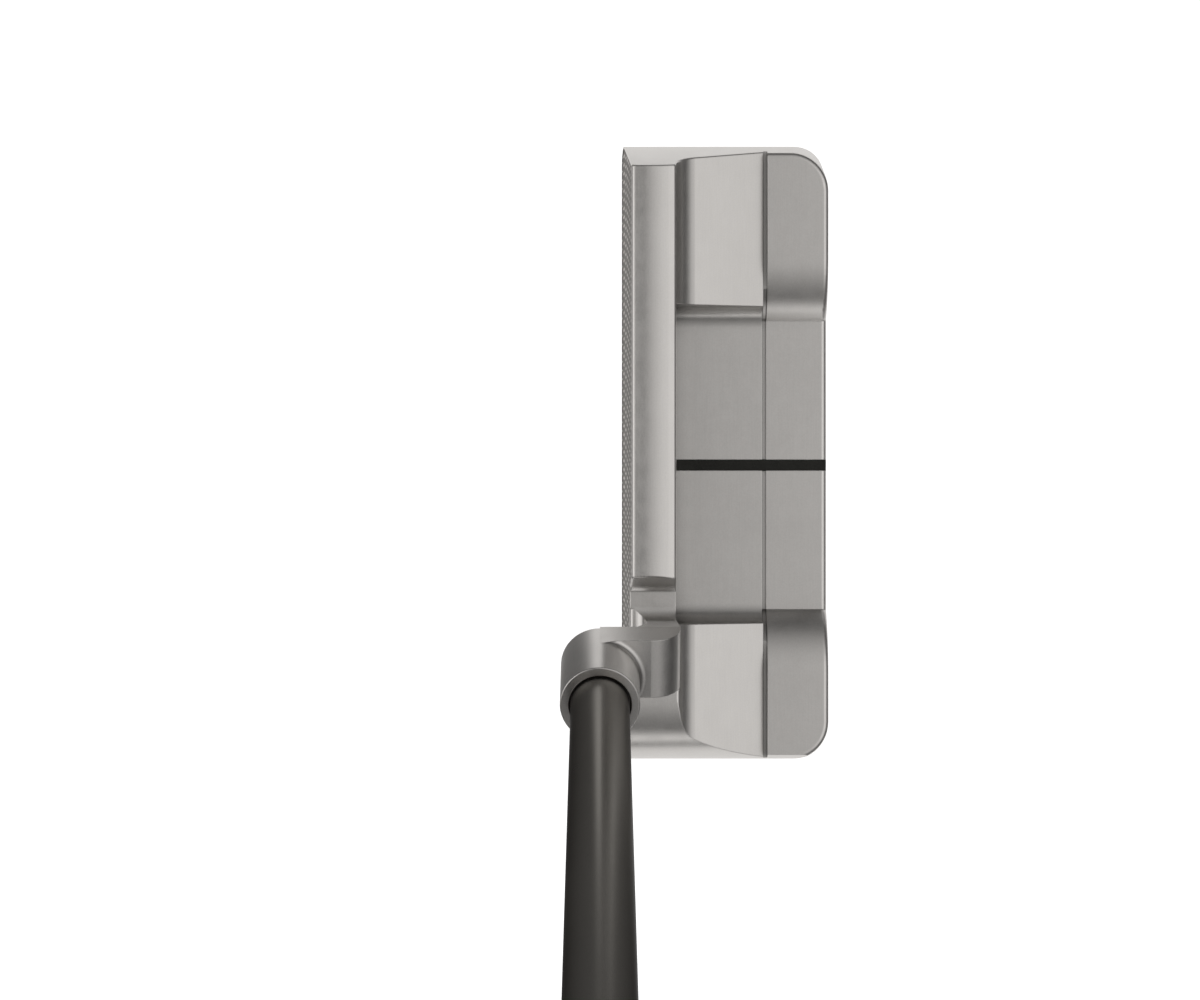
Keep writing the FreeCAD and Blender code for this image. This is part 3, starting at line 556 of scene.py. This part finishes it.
@dataclass(frozen=True)
class Moulded:
    """Rubber, foam, paint, paper and plastic: matt, with a moulded grain."""

    name: str
    dark: Colour
    light: Colour
    roughness: tuple[float, float] = (0.55, 0.75)
    grain: float = 0.4
    relief: float = 0.02
    sheen: float = 0.0
    sheen_roughness: float = 0.4
    gloss: float = 0.5
    cloud: float = 18.0
    dust: Colour = (0.09, 0.085, 0.08)
    dust_share: float = 0.25

    def make(self, effects: Effects) -> bpy.types.Material:
        """Builds the finish.

        Args:
            effects: The shared shader groups.

        Returns:
            The material.
        """
        sheet = MaterialSheet(self.name, effects)
        grain = sheet.effect(effects.grain, {"Size": self.grain})
        cloud = sheet.effect(effects.handling, {"Size": self.cloud})
        colour = sheet.shade(grain.outputs["Shade"], self.dark, self.light)
        dusty = sheet.math("MULTIPLY", cloud.outputs["Shade"], self.dust_share)
        mixed = sheet.add("ShaderNodeMix", {0: dusty, 6: colour, 7: (*self.dust, 1)},
                          data_type="RGBA")
        sheet.set(Base_Color=mixed.outputs[2], Sheen_Weight=self.sheen,
                  Sheen_Roughness=self.sheen_roughness, Specular_IOR_Level=self.gloss,
                  Roughness=sheet.between(cloud.outputs["Shade"], 0, 1, *self.roughness))
        sheet.relief(grain.outputs["Height"], self.relief)
        return sheet.material


# ---------------------------------------------------------------- mesh help


def merged_copy(node: str) -> bmesh.types.BMesh:
    """A CAD node's mesh as one closed skin that remembers the CAD surface's normals.

    Args:
        node: The CAD node's name.

    Returns:
        The new bmesh.
    """
    source = frame["nodes"][node].data
    bm = bmesh.new()
    bm.from_mesh(source)
    layer = bm.loops.layers.float_vector.new(NORMALS)
    loops = (loop for face in bm.faces for loop in face.loops)
    for loop, normal in zip(loops, source.corner_normals):
        loop[layer] = normal.vector
    bmesh.ops.remove_doubles(bm, verts=bm.verts, dist=MERGE_DISTANCE)
    return bm


def finished_piece(bm: bmesh.types.BMesh, name: str, materials: tuple[bpy.types.Material, ...],
                   nodes: tuple[str, ...] = (),
                   sharp: float = SHARP_ANGLE) -> bpy.types.Object:
    """Turns a bmesh into a piece of the club.

    Args:
        bm: The shape, which is used up.
        name: The piece's name.
        materials: Its finishes, in the order of its faces' material numbers.
        nodes: The CAD nodes that it stands for.
        sharp: Angle from which an edge is sharp.

    Returns:
        The piece.
    """
    layer = bm.loops.layers.float_vector.get(NORMALS)
    normals = [loop[layer].copy() for face in bm.faces for loop in face.loops] if layer else []
    mesh = bpy.data.meshes.new(name)
    bm.to_mesh(mesh)
    bm.free()
    for material in materials:
        mesh.materials.append(material)
    mesh.shade_smooth()
    if normals:
        mesh.normals_split_custom_set(normals)
    else:
        mesh.set_sharp_from_angle(angle=sharp)
    piece = bpy.data.objects.new(name, mesh)
    bpy.context.scene.collection.objects.link(piece)
    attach(piece, BODY)
    if nodes:
        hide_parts(*nodes)
    LOG.info("%s: %d faces", name, len(mesh.polygons))
    return piece


def redress(node: str, material: bpy.types.Material) -> None:
    """Gives a CAD node that stays as it is its finish.

    Args:
        node: The CAD node's name.
        material: Its finish.
    """
    piece = frame["nodes"][node]
    piece.data.materials.clear()
    piece.data.materials.append(material)
    LOG.info("%s: dressed as it is", node)


@dataclass
class ShaftLine:
    """The shaft's own frame: its Z runs up the shaft from where the axis meets the ground."""

    start: Vector = field(init=False)
    along: Vector = field(init=False)
    matrix: Matrix = field(init=False)

    def __post_init__(self) -> None:
        """Reads the axis from the vent hole's mount."""
        mount = next(m for m in frame["record"]["mounts"] if m["name"] == "vent_hole")
        self.along = Vector(mount["axis"]).normalized()
        place = Vector(mount["pos_m"])
        self.start = place - self.along * (place.z / self.along.z)
        side = Vector((0, 1, 0))
        across = side.cross(self.along)
        turn = Matrix((across, side, self.along)).transposed().to_4x4()
        self.matrix = Matrix.Translation(self.start) @ turn

    def reach(self, node: str) -> tuple[float, float]:
        """How far a CAD node reaches along the shaft.

        Args:
            node: The CAD node's name.

        Returns:
            Its lowest and highest place along the shaft.
        """
        back = self.matrix.inverted()
        heights = [(back @ v.co).z for v in frame["nodes"][node].data.vertices]
        return min(heights), max(heights)

    def radius(self, node: str, height: float, margin: float = 0.4 * MM) -> float:
        """The outer radius of a CAD node near a height along the shaft.

        Args:
            node: The CAD node's name.
            height: The place along the shaft.
            margin: How far from it points still count.

        Returns:
            The largest distance from the axis there.
        """
        back = self.matrix.inverted()
        local = [back @ v.co for v in frame["nodes"][node].data.vertices]
        return max(math.hypot(p.x, p.y) for p in local if abs(p.z - height) < margin)


# ---------------------------------------------------------------- the head


@dataclass
class FlyCut:
    """The crossing arcs that a fly cutter leaves on the face."""

    arc_radius: float = 90.0
    arc_drop: float = 10.0
    pitch: float = 1.6
    depths: tuple[float, float] = (0.16, 0.145)
    grid: tuple[float, float] = (0.23, 0.5)

    def depth_at(self, along: float, up: float) -> float:
        """Depth of the cut at a place on the face, in millimetres.

        Args:
            along: Place from toe to heel.
            up: Place up the face.

        Returns:
            The depth below the face, at least 0.
        """
        sag = math.sqrt(self.arc_radius ** 2 - (up + self.arc_drop) ** 2)
        cuts = []
        for way, depth in zip((1, -1), self.depths):
            share = ((along + way * sag) / self.pitch) % 1.0
            cuts.append(depth * (1 - (2 * share - 1) ** 2))
        return max(cuts)


@dataclass
class MilledHead:
    """The head with its plumber's neck, its milled face and the painted sight line."""

    effects: Effects
    face_tilt: float = 4.0
    front_limit: float = -5.0
    cut: FlyCut = field(default_factory=FlyCut)

    def face_normal(self) -> Vector:
        """The direction that the face looks."""
        tilt = math.radians(self.face_tilt)
        return Vector((0, -math.cos(tilt), math.sin(tilt)))

    def _cut_grid(self, bm: bmesh.types.BMesh, front: list[bmesh.types.BMFace],
                  up: Vector) -> set[bmesh.types.BMFace]:
        """Cuts the flat front into a fine grid.

        Args:
            bm: The merged head.
            front: The faces of the flat front.
            up: The direction up the face.

        Returns:
            The cells of the grid.
        """
        corners = [v.co.copy() for f in front for v in f.verts]
        region = list({item for f in front for item in (f, *f.edges, *f.verts)})
        for across, size in zip((Vector((1, 0, 0)), up), self.cut.grid):
            places = [corner.dot(across) for corner in corners]
            low, high, step = min(places), max(places), size * MM
            for n in range(1, int((high - low) / step)):
                made = bmesh.ops.bisect_plane(bm, geom=region, dist=MERGE_DISTANCE / 10,
                                              plane_co=across * (low + step * n),
                                              plane_no=across)
                region = made["geom"]
        return {f for f in region if isinstance(f, bmesh.types.BMFace)}

    @staticmethod
    def _smooth_cuts(bm: bmesh.types.BMesh, cells: set[bmesh.types.BMFace],
                     verts: set[bmesh.types.BMVert]) -> None:
        """Gives the cut cells normals that flow from each to the next.

        Args:
            bm: The merged head.
            cells: The cells of the face's grid.
            verts: The corners of the cells.
        """
        layer = bm.loops.layers.float_vector[NORMALS]
        for vert in verts:
            around = [f for f in vert.link_faces if f in cells]
            smooth = sum((f.normal * f.calc_area() for f in around), Vector()).normalized()
            for loop in vert.link_loops:
                if loop.face in cells:
                    loop[layer] = smooth

    def _mill_face(self, bm: bmesh.types.BMesh) -> None:
        """Cuts the face into a fine grid and presses the cutter's arcs into it.

        Args:
            bm: The merged head.
        """
        share = bm.verts.layers.float.new(CUT_DEPTH)
        normal = self.face_normal()
        up = Vector((0, normal.z, -normal.y))
        front = [f for f in bm.faces if f.normal.dot(normal) > math.cos(FLAT_ANGLE)
                 and f.calc_center_median().y < self.front_limit * MM]
        cells = self._cut_grid(bm, front, up)
        verts = {v for f in cells for v in f.verts}
        for vert in verts:
            depth = self.cut.depth_at(vert.co.x / MM, vert.co.dot(up) / MM)
            vert[share] = depth / max(self.cut.depths)
            if all(f in cells for f in vert.link_faces):
                vert.co -= normal * depth * MM
        bm.normal_update()
        self._smooth_cuts(bm, cells, verts)
        for face in cells:
            face.material_index = 1

    def build(self) -> None:
        """Builds the head and paints its sight line."""
        bm = merged_copy("head")
        self._mill_face(bm)
        steel = SatinSteel().make(self.effects)
        face = FlyCutSteel().make(self.effects)
        finished_piece(bm, "milled_head", (steel, face), ("head",))
        paint = Moulded("sight_line_paint", (0.010, 0.010, 0.008), (0.020, 0.020, 0.017),
                        roughness=(0.5, 0.65), grain=0.3, relief=0.01, gloss=0.25,
                        dust=(0.04, 0.04, 0.036), dust_share=0.15).make(self.effects)
        redress("sight_line_fill", paint)


# ---------------------------------------------------------------- sole hardware


@dataclass
class SoleHardware:
    """The weights, their seals, the sole plate and its screws."""

    effects: Effects

    def centre_of(self, node: str) -> Vector:
        """The middle of a CAD node's box."""
        low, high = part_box(node)
        return (low + high) / 2

    def build(self) -> None:
        """Builds every piece in the sole."""
        for side in ("toe", "heel"):
            node = side + "_weight"
            steel = TurnedSteel("turned_" + side, self.centre_of(node)).make(self.effects)
            finished_piece(merged_copy(node), "turned_" + node, (steel,), (node,))
        aluminium = Coating("blasted_aluminium", (0.30, 0.30, 0.305), (0.38, 0.38, 0.385),
                            roughness=(0.36, 0.46), grain=0.25, relief=0.006, edge=0.2,
                            cloud=10.0).make(self.effects)
        finished_piece(merged_copy("sole_plate"), "blasted_sole_plate", (aluminium,),
                       ("sole_plate",))
        screw = Coating("screw_steel", (0.30, 0.30, 0.30), (0.42, 0.42, 0.42),
                        roughness=(0.22, 0.32), grain=0.3, relief=0.003, edge=0.1,
                        cloud=3.0).make(self.effects)
        finished_piece(merged_copy("sole_plate_screws"), "hexagon_screws", (screw,),
                       ("sole_plate_screws",))
        rubber = Moulded("seal_rubber", (0.014, 0.014, 0.014), (0.026, 0.026, 0.026),
                         grain=0.2).make(self.effects)
        redress("weight_seals", rubber)


# ---------------------------------------------------------------- the shaft


@dataclass
class Shaft:
    """The tapered shaft and what is inside the hosel with it."""

    effects: Effects
    line: ShaftLine
    segments: int = 128
    rings: int = 24
    wall: float = 0.5
    mouth_gap: float = 0.8

    def build(self) -> None:
        """Builds the shaft by spinning its section, and dresses what joins it."""
        low, high = self.line.reach("shaft")
        tip = self.line.radius("shaft", low)
        butt = self.line.radius("shaft", high)
        mouth = self.line.reach("hosel_epoxy")[1] + self.mouth_gap * MM
        wall = self.wall * MM
        section = [(tip - wall, low), (tip, low), (tip, mouth)]
        for n in range(1, self.rings + 1):
            share = n / self.rings
            section.append((tip + share * (butt - tip), mouth + share * (high - mouth)))
        section.append((butt - wall, high))
        bm = bmesh.new()
        verts = [bm.verts.new((radius, 0, height)) for radius, height in section]
        edges = [bm.edges.new(pair) for pair in zip(verts, verts[1:] + verts[:1])]
        bmesh.ops.spin(bm, geom=verts + edges, cent=(0, 0, 0), axis=(0, 0, 1), dvec=(0, 0, 0),
                       angle=math.tau, steps=self.segments, use_merge=True, use_duplicate=False)
        bmesh.ops.remove_doubles(bm, verts=bm.verts, dist=MERGE_DISTANCE)
        bmesh.ops.recalc_face_normals(bm, faces=bm.faces)
        bm.transform(self.line.matrix)
        black = Coating("black_coating", (0.380, 0.368, 0.349), (0.425, 0.411, 0.390),
                        roughness=(0.27, 0.31), grain=0.12, relief=0.0003, cloud=60.0,
                        grazing=0.17).make(self.effects)
        finished_piece(bm, "tapered_shaft", (black,), ("shaft",))
        epoxy = Coating("cured_epoxy", (0.07, 0.065, 0.055), (0.11, 0.10, 0.09), metallic=0.0,
                        roughness=(0.2, 0.4), grain=0.5, relief=0.01).make(self.effects)
        redress("hosel_epoxy", epoxy)
        plug = Moulded("tip_plug", (0.42, 0.38, 0.30), (0.56, 0.51, 0.41)).make(self.effects)
        redress("shaft_tip_plug", plug)


# ---------------------------------------------------------------- the grip


@dataclass
class Grip:
    """The wrapped grip: embossed skin, back seam, mouth ring and cap."""

    effects: Effects
    line: ShaftLine
    around: int = 120
    along: int = 300
    wall: float = 1.3
    blank_radius: float = 20.0
    cast_radius: float = 50.0
    end_inset: float = 0.02
    fold_angle: float = 80.0
    cell: float = 5.2
    emboss: float = 0.42
    emboss_floor: float = 0.25
    seam_fade: float = 1.6
    end_fade: float = 4.0
    seam_width: float = 4.2
    seam_depth: float = 0.35
    stitch_pitch: float = 4.6
    stitch_radius: float = 0.32
    stitch_place: float = 1.05
    stitch_sink: float = 0.62
    stitch_lean: float = 14.0
    stitch_half: float = 0.36
    stitch_margin: int = 2

    def _cad_skin(self) -> BVHTree:
        """Readies the CAD skin for casting.

        Returns:
            The skin's outside and inside, in the shaft's frame.
        """
        source = bmesh.new()
        source.from_mesh(frame["nodes"]["grip_skin"].data)
        source.transform(self.line.matrix.inverted())
        tree = BVHTree.FromBMesh(source)
        source.free()
        return tree

    def _cast(self, tree: BVHTree, height: float, angle: float) -> tuple[Vector, Vector] | None:
        """Finds the CAD skin from outside.

        Args:
            tree: The CAD skin.
            height: The place along the shaft.
            angle: The direction round it.

        Returns:
            The point and its normal in the shaft's frame, or None.
        """
        outward = Vector((math.cos(angle), math.sin(angle), 0))
        start = outward * self.cast_radius * MM + Vector((0, 0, height))
        hit, normal, _, _ = tree.ray_cast(start, -outward)
        return (hit, normal) if hit else None

    def pattern(self, around: float, along: float) -> float:
        """Depth of the embossing.

        Args:
            around: Distance round the grip from the back seam, in millimetres.
            along: Distance along the grip, in millimetres.

        Returns:
            The depth in millimetres.
        """
        from_seam = abs(around) - self.seam_width / 2
        if from_seam < 0:
            return self.seam_depth * (1 - math.exp(8 * from_seam / self.seam_width))
        row = along / self.cell
        column = around / self.cell
        diamond = (math.cos(math.pi * (row + column)) * math.cos(math.pi * (row - column))) ** 2
        edge = min(1.0, from_seam / self.seam_fade)
        return self.emboss * edge * max(0.0, diamond - self.emboss_floor) / (1 - self.emboss_floor)

    @staticmethod
    def _walk(angles: list[float], points: list[Vector]) -> list[float]:
        """Walks round a ring, both ways from the back seam.

        Args:
            angles: The direction of each point of the ring.
            points: The ring's points on the skin.

        Returns:
            Each point's distance from the back seam, in millimetres.
        """
        count = len(points)
        back = min(range(count), key=lambda n: abs(angles[n]))
        distance = [0.0] * count
        for way in (1, -1):
            walked = 0.0
            for n in range(1, count // 2 + 1):
                here, before = (back + way * n) % count, (back + way * (n - 1)) % count
                walked += (points[here] - points[before]).length / MM
                distance[here] = way * walked
        return distance

    def _skin(self) -> bmesh.types.BMesh:
        """The skin as a fine tube wrapped onto the CAD skin's outside.

        Returns:
            The skin's shape, in the shaft's frame.
        """
        tree = self._cad_skin()
        low, high = self.line.reach("grip_skin")
        blank, inset = self.blank_radius * MM, self.end_inset * MM
        bm = bmesh.new()
        bmesh.ops.create_cone(bm, cap_ends=False, segments=self.around, radius1=blank,
                              radius2=blank, depth=high - low,
                              matrix=Matrix.Translation((0, 0, (low + high) / 2)))
        upright = [e for e in bm.edges if abs(e.verts[0].co.z - e.verts[1].co.z) > MM]
        bmesh.ops.subdivide_edges(bm, edges=upright, cuts=self.along, use_grid_fill=True)
        rings: dict[int, list[bmesh.types.BMVert]] = {}
        for vert in bm.verts:
            share = (vert.co.z - low) / (high - low)
            rings.setdefault(round(share * (self.along + 1)), []).append(vert)
        for ring in rings.values():
            height = min(max(ring[0].co.z, low + inset), high - inset)
            ring.sort(key=lambda v: math.atan2(v.co.y, v.co.x))
            angles = [math.atan2(v.co.y, v.co.x) for v in ring]
            found = [self._cast(tree, height, angle) for angle in angles]
            distance = self._walk(angles, [point for point, _ in found])
            end = min(height - low, high - height) / MM
            for vert, (point, normal), around in zip(ring, found, distance):
                flat = Vector((normal.x, normal.y, 0)).normalized()
                depth = self.pattern(around, (height - low) / MM) * min(1.0, end / self.end_fade)
                vert.co = point - flat * depth * MM
                vert.co.z = height
        return bm

    def _stitches(self) -> bmesh.types.BMesh:
        """Two rows of short stitches, one on each side of the back seam.

        Returns:
            The thread's shape, in the shaft's frame.
        """
        tree = self._cad_skin()
        low, high = self.line.reach("grip_skin")
        sideways = Vector((0, -1, 0))
        size = Matrix.Diagonal((1, 1, self.stitch_half * self.stitch_pitch / self.stitch_radius, 1))
        bm = bmesh.new()
        count = int((high - low) / MM / self.stitch_pitch) - self.stitch_margin - 1
        for n in range(count):
            height = low + (n + self.stitch_margin) * self.stitch_pitch * MM
            for side in (-1, 1):
                out = self._cast(tree, height, 0.0)[0].x
                angle = side * self.stitch_place * MM / out
                point, _ = self._cast(tree, height, angle)
                slope = (self._cast(tree, height + MM, angle)[0] - point).normalized()
                centre = point.copy()
                centre.x -= self.seam_depth * self.stitch_sink * MM
                turn = Matrix((sideways, slope.cross(sideways), slope)).transposed().to_4x4()
                lean = Matrix.Rotation(-side * math.radians(self.stitch_lean), 4, "Y")
                bmesh.ops.create_uvsphere(bm, u_segments=8, v_segments=6,
                                          radius=self.stitch_radius * MM,
                                          matrix=Matrix.Translation(centre) @ turn @ lean @ size)
        return bm

    def build(self) -> None:
        """Builds every piece of the grip."""
        skin = self._skin()
        skin.transform(self.line.matrix)
        bmesh.ops.recalc_face_normals(skin, faces=skin.faces)
        rubber = Moulded("embossed_polyurethane", (0.070, 0.070, 0.073), (0.115, 0.115, 0.119),
                         roughness=(0.38, 0.55), grain=0.25, relief=0.015, sheen=0.12,
                         dust=(0.055, 0.054, 0.053)).make(self.effects)
        piece = finished_piece(skin, "embossed_grip_skin", (rubber,),
                               ("grip_skin",), sharp=math.radians(self.fold_angle))
        wall = piece.modifiers.new("wall", "SOLIDIFY")
        wall.thickness = self.wall * MM
        wall.offset = -1.0
        thread = self._stitches()
        thread.transform(self.line.matrix)
        yarn = Moulded("stitching_thread", (0.20, 0.20, 0.205), (0.30, 0.30, 0.305), grain=0.15,
                       relief=0.02, sheen=0.3, dust=(0.2, 0.19, 0.18)).make(self.effects)
        finished_piece(thread, "seam_stitching", (yarn,))
        moulding = Moulded("moulded_rubber", (0.018, 0.018, 0.018), (0.030, 0.030, 0.030),
                           roughness=(0.5, 0.66), grain=0.35, relief=0.012).make(self.effects)
        for part in ("mouth_ring", "butt_cap"):
            node = "grip_" + part
            finished_piece(merged_copy(node), "moulded_" + part, (moulding,),
                           (node,))
        tape = Moulded("crepe_tape", (0.50, 0.45, 0.34), (0.68, 0.62, 0.50)).make(self.effects)
        redress("grip_tape", tape)
        foam = Moulded("closed_foam", (0.06, 0.06, 0.06), (0.10, 0.10, 0.10), grain=0.8,
                       relief=0.05).make(self.effects)
        redress("grip_underlisting", foam)


# ---------------------------------------------------------------- the studio


@dataclass(frozen=True)
class SoftPanel:
    """A far soft light, or a black flag if its strength is negative."""

    tilt: float
    bearing: float
    core: float
    fade: float
    strength: float

    def direction(self) -> Vector:
        """Where it stands, as a unit vector."""
        tilt, bearing = math.radians(self.tilt), math.radians(self.bearing)
        return Vector((math.sin(tilt) * math.cos(bearing), math.sin(tilt) * math.sin(bearing),
                       math.cos(tilt)))


@dataclass
class Studio:
    """Floor, light and camera, in metres.

    Each step of the glow says where it starts and ends, and how bright it is there.
    """

    floor_half: float = 6.0
    floor_drop: float = 0.05 * MM
    table_grey: float = 0.86
    table_roughness: float = 0.9
    table_glow: float = 0.80
    camera_height: float = 0.5692
    camera_x: float = 0.0064
    lens: float = 91.92
    sensor: float = 36.0
    overhead: float = 0.79
    horizon: float = 0.12
    sky_rise: tuple[float, float] = (0.30, 0.95)
    flag_place: float = -0.14
    flag_half: tuple[float, float] = (0.06, 0.225)
    flag_rise: tuple[float, float] = (0.45, 0.85)
    flag_strength: float = -0.68
    glow_steps: tuple[tuple[float, float, float, float], ...] = (
        (0.008, 0.030, 0.95, 0.16), (0.030, 0.30, 0.16, 0.05))
    glow_centre: tuple[float, float, float] = (0.018, -0.002, 0.0)
    glow_half: tuple[float, float, float] = (0.078, 0.018, 1.0)
    panels: tuple[SoftPanel, ...] = (
        SoftPanel(tilt=46, bearing=90, core=13, fade=35, strength=0.42),
        SoftPanel(tilt=26, bearing=-90, core=4, fade=14, strength=0.30),
        SoftPanel(tilt=66, bearing=-90, core=12, fade=34, strength=0.95),
        SoftPanel(tilt=42, bearing=0, core=12, fade=32, strength=-0.15),
        SoftPanel(tilt=94, bearing=0, core=10, fade=32, strength=1.05),
    )

    def _sky(self) -> None:
        """The soft light all round, with a long black flag overhead.

        What the camera itself sees of the sky is plain and pale.
        """
        world = bpy.data.worlds.new("studio")
        bpy.context.scene.world = world
        world.use_nodes = True
        sheet = NodeSheet(world.node_tree)
        way = sheet.add("ShaderNodeTexCoord").outputs["Generated"]
        parts = sheet.add("ShaderNodeSeparateXYZ", {0: way})
        rise = parts.outputs["Z"]
        light = sheet.between(rise, *self.sky_rise, self.horizon, self.overhead)
        core, fade = self.flag_half
        across = sheet.math("SUBTRACT", parts.outputs["Y"], self.flag_place)
        across = sheet.math("ABSOLUTE", across)
        flag = sheet.math("MULTIPLY", sheet.between(across, fade, core, 0.0, self.flag_strength),
                          sheet.between(rise, *self.flag_rise))
        light = sheet.math("ADD", light, flag)
        for panel in self.panels:
            near = sheet.add("ShaderNodeVectorMath", {0: way, 1: panel.direction()},
                             operation="DOT_PRODUCT").outputs["Value"]
            patch = sheet.between(near, math.cos(math.radians(panel.fade)),
                                  math.cos(math.radians(panel.core)), 0.0, panel.strength)
            light = sheet.math("ADD", light, patch)
        soft = sheet.add("ShaderNodeBackground", {"Color": WARM_WHITE, "Strength": light})
        plain = sheet.add("ShaderNodeBackground", {"Color": WHITE, "Strength": 1.0})
        seen = sheet.add("ShaderNodeLightPath").outputs["Is Camera Ray"]
        mixed = sheet.add("ShaderNodeMixShader", {0: seen, 1: soft.outputs[0], 2: plain.outputs[0]})
        sheet.add("ShaderNodeOutputWorld", {0: mixed.outputs[0]})

    def _table(self) -> bpy.types.Material:
        """A white table's finish, which glows so that shadows stay faint.

        What the putter mirrors of it is a glow that fades away from the head.

        Returns:
            The material.
        """
        material = bpy.data.materials.new("white_table")
        material.use_nodes = True
        sheet = NodeSheet(material.node_tree)
        grey = self.table_grey
        table = sheet.add("ShaderNodeBsdfPrincipled",
                          {"Base Color": (grey, grey, grey, 1), "Roughness": self.table_roughness,
                           "Emission Color": WHITE, "Emission Strength": self.table_glow})
        off = sheet.add("ShaderNodeTexCoord").outputs["Object"]
        for operation, second in (("SUBTRACT", self.glow_centre), ("ABSOLUTE", (0, 0, 0)),
                                  ("SUBTRACT", self.glow_half), ("MAXIMUM", (0, 0, 0))):
            off = sheet.add("ShaderNodeVectorMath", {0: off, 1: second},
                            operation=operation).outputs[0]
        away = sheet.add("ShaderNodeVectorMath", {0: off}, operation="LENGTH").outputs["Value"]
        near, (start, end, bright, dim) = self.glow_steps
        glow = sheet.math("MULTIPLY", sheet.between(away, *near),
                          sheet.between(away, start, end, 1.0, dim / bright))
        mirrored = sheet.add("ShaderNodeEmission", {"Color": WARM_WHITE, "Strength": glow})
        seen = sheet.add("ShaderNodeLightPath").outputs["Is Camera Ray"]
        mixed = sheet.add("ShaderNodeMixShader", {0: seen, 1: mirrored.outputs[0],
                                                  2: table.outputs[0]})
        sheet.add("ShaderNodeOutputMaterial", {"Surface": mixed.outputs[0]})
        return material

    def _floor(self) -> None:
        """A wide table under the putter."""
        bm = bmesh.new()
        bmesh.ops.create_grid(bm, x_segments=2, y_segments=2, size=self.floor_half)
        mesh = bpy.data.meshes.new("floor")
        bm.to_mesh(mesh)
        bm.free()
        floor = bpy.data.objects.new("floor", mesh)
        floor.location.z = -self.floor_drop
        bpy.context.scene.collection.objects.link(floor)
        mesh.materials.append(self._table())

    def _camera(self, over: Vector) -> None:
        """A camera straight above the hosel, with the toe at the top of its view.

        Args:
            over: A point that it stands above.
        """
        data = bpy.data.cameras.new("camera")
        data.lens = self.lens
        data.sensor_width = self.sensor
        data.clip_start = 0.01
        camera = bpy.data.objects.new("camera", data)
        camera.location = (self.camera_x, over.y, self.camera_height)
        camera.rotation_euler = (0, 0, math.radians(90))
        bpy.context.scene.collection.objects.link(camera)
        bpy.context.scene.camera = camera

    def build(self, line: ShaftLine) -> None:
        """Sets up the studio.

        Args:
            line: The shaft's frame, which the camera stands over.
        """
        self._sky()
        self._floor()
        self._camera(line.start)
        bpy.context.scene.view_settings.view_transform = "Standard"


def main() -> None:
    """Builds the whole putter and its studio."""
    logging.basicConfig(level=logging.INFO, format="%(name)s %(message)s")
    effects = Effects()
    line = ShaftLine()
    MilledHead(effects).build()
    SoleHardware(effects).build()
    Shaft(effects, line).build()
    Grip(effects, line).build()
    Studio().build(line)


if __name__ == "__main__":
    main()
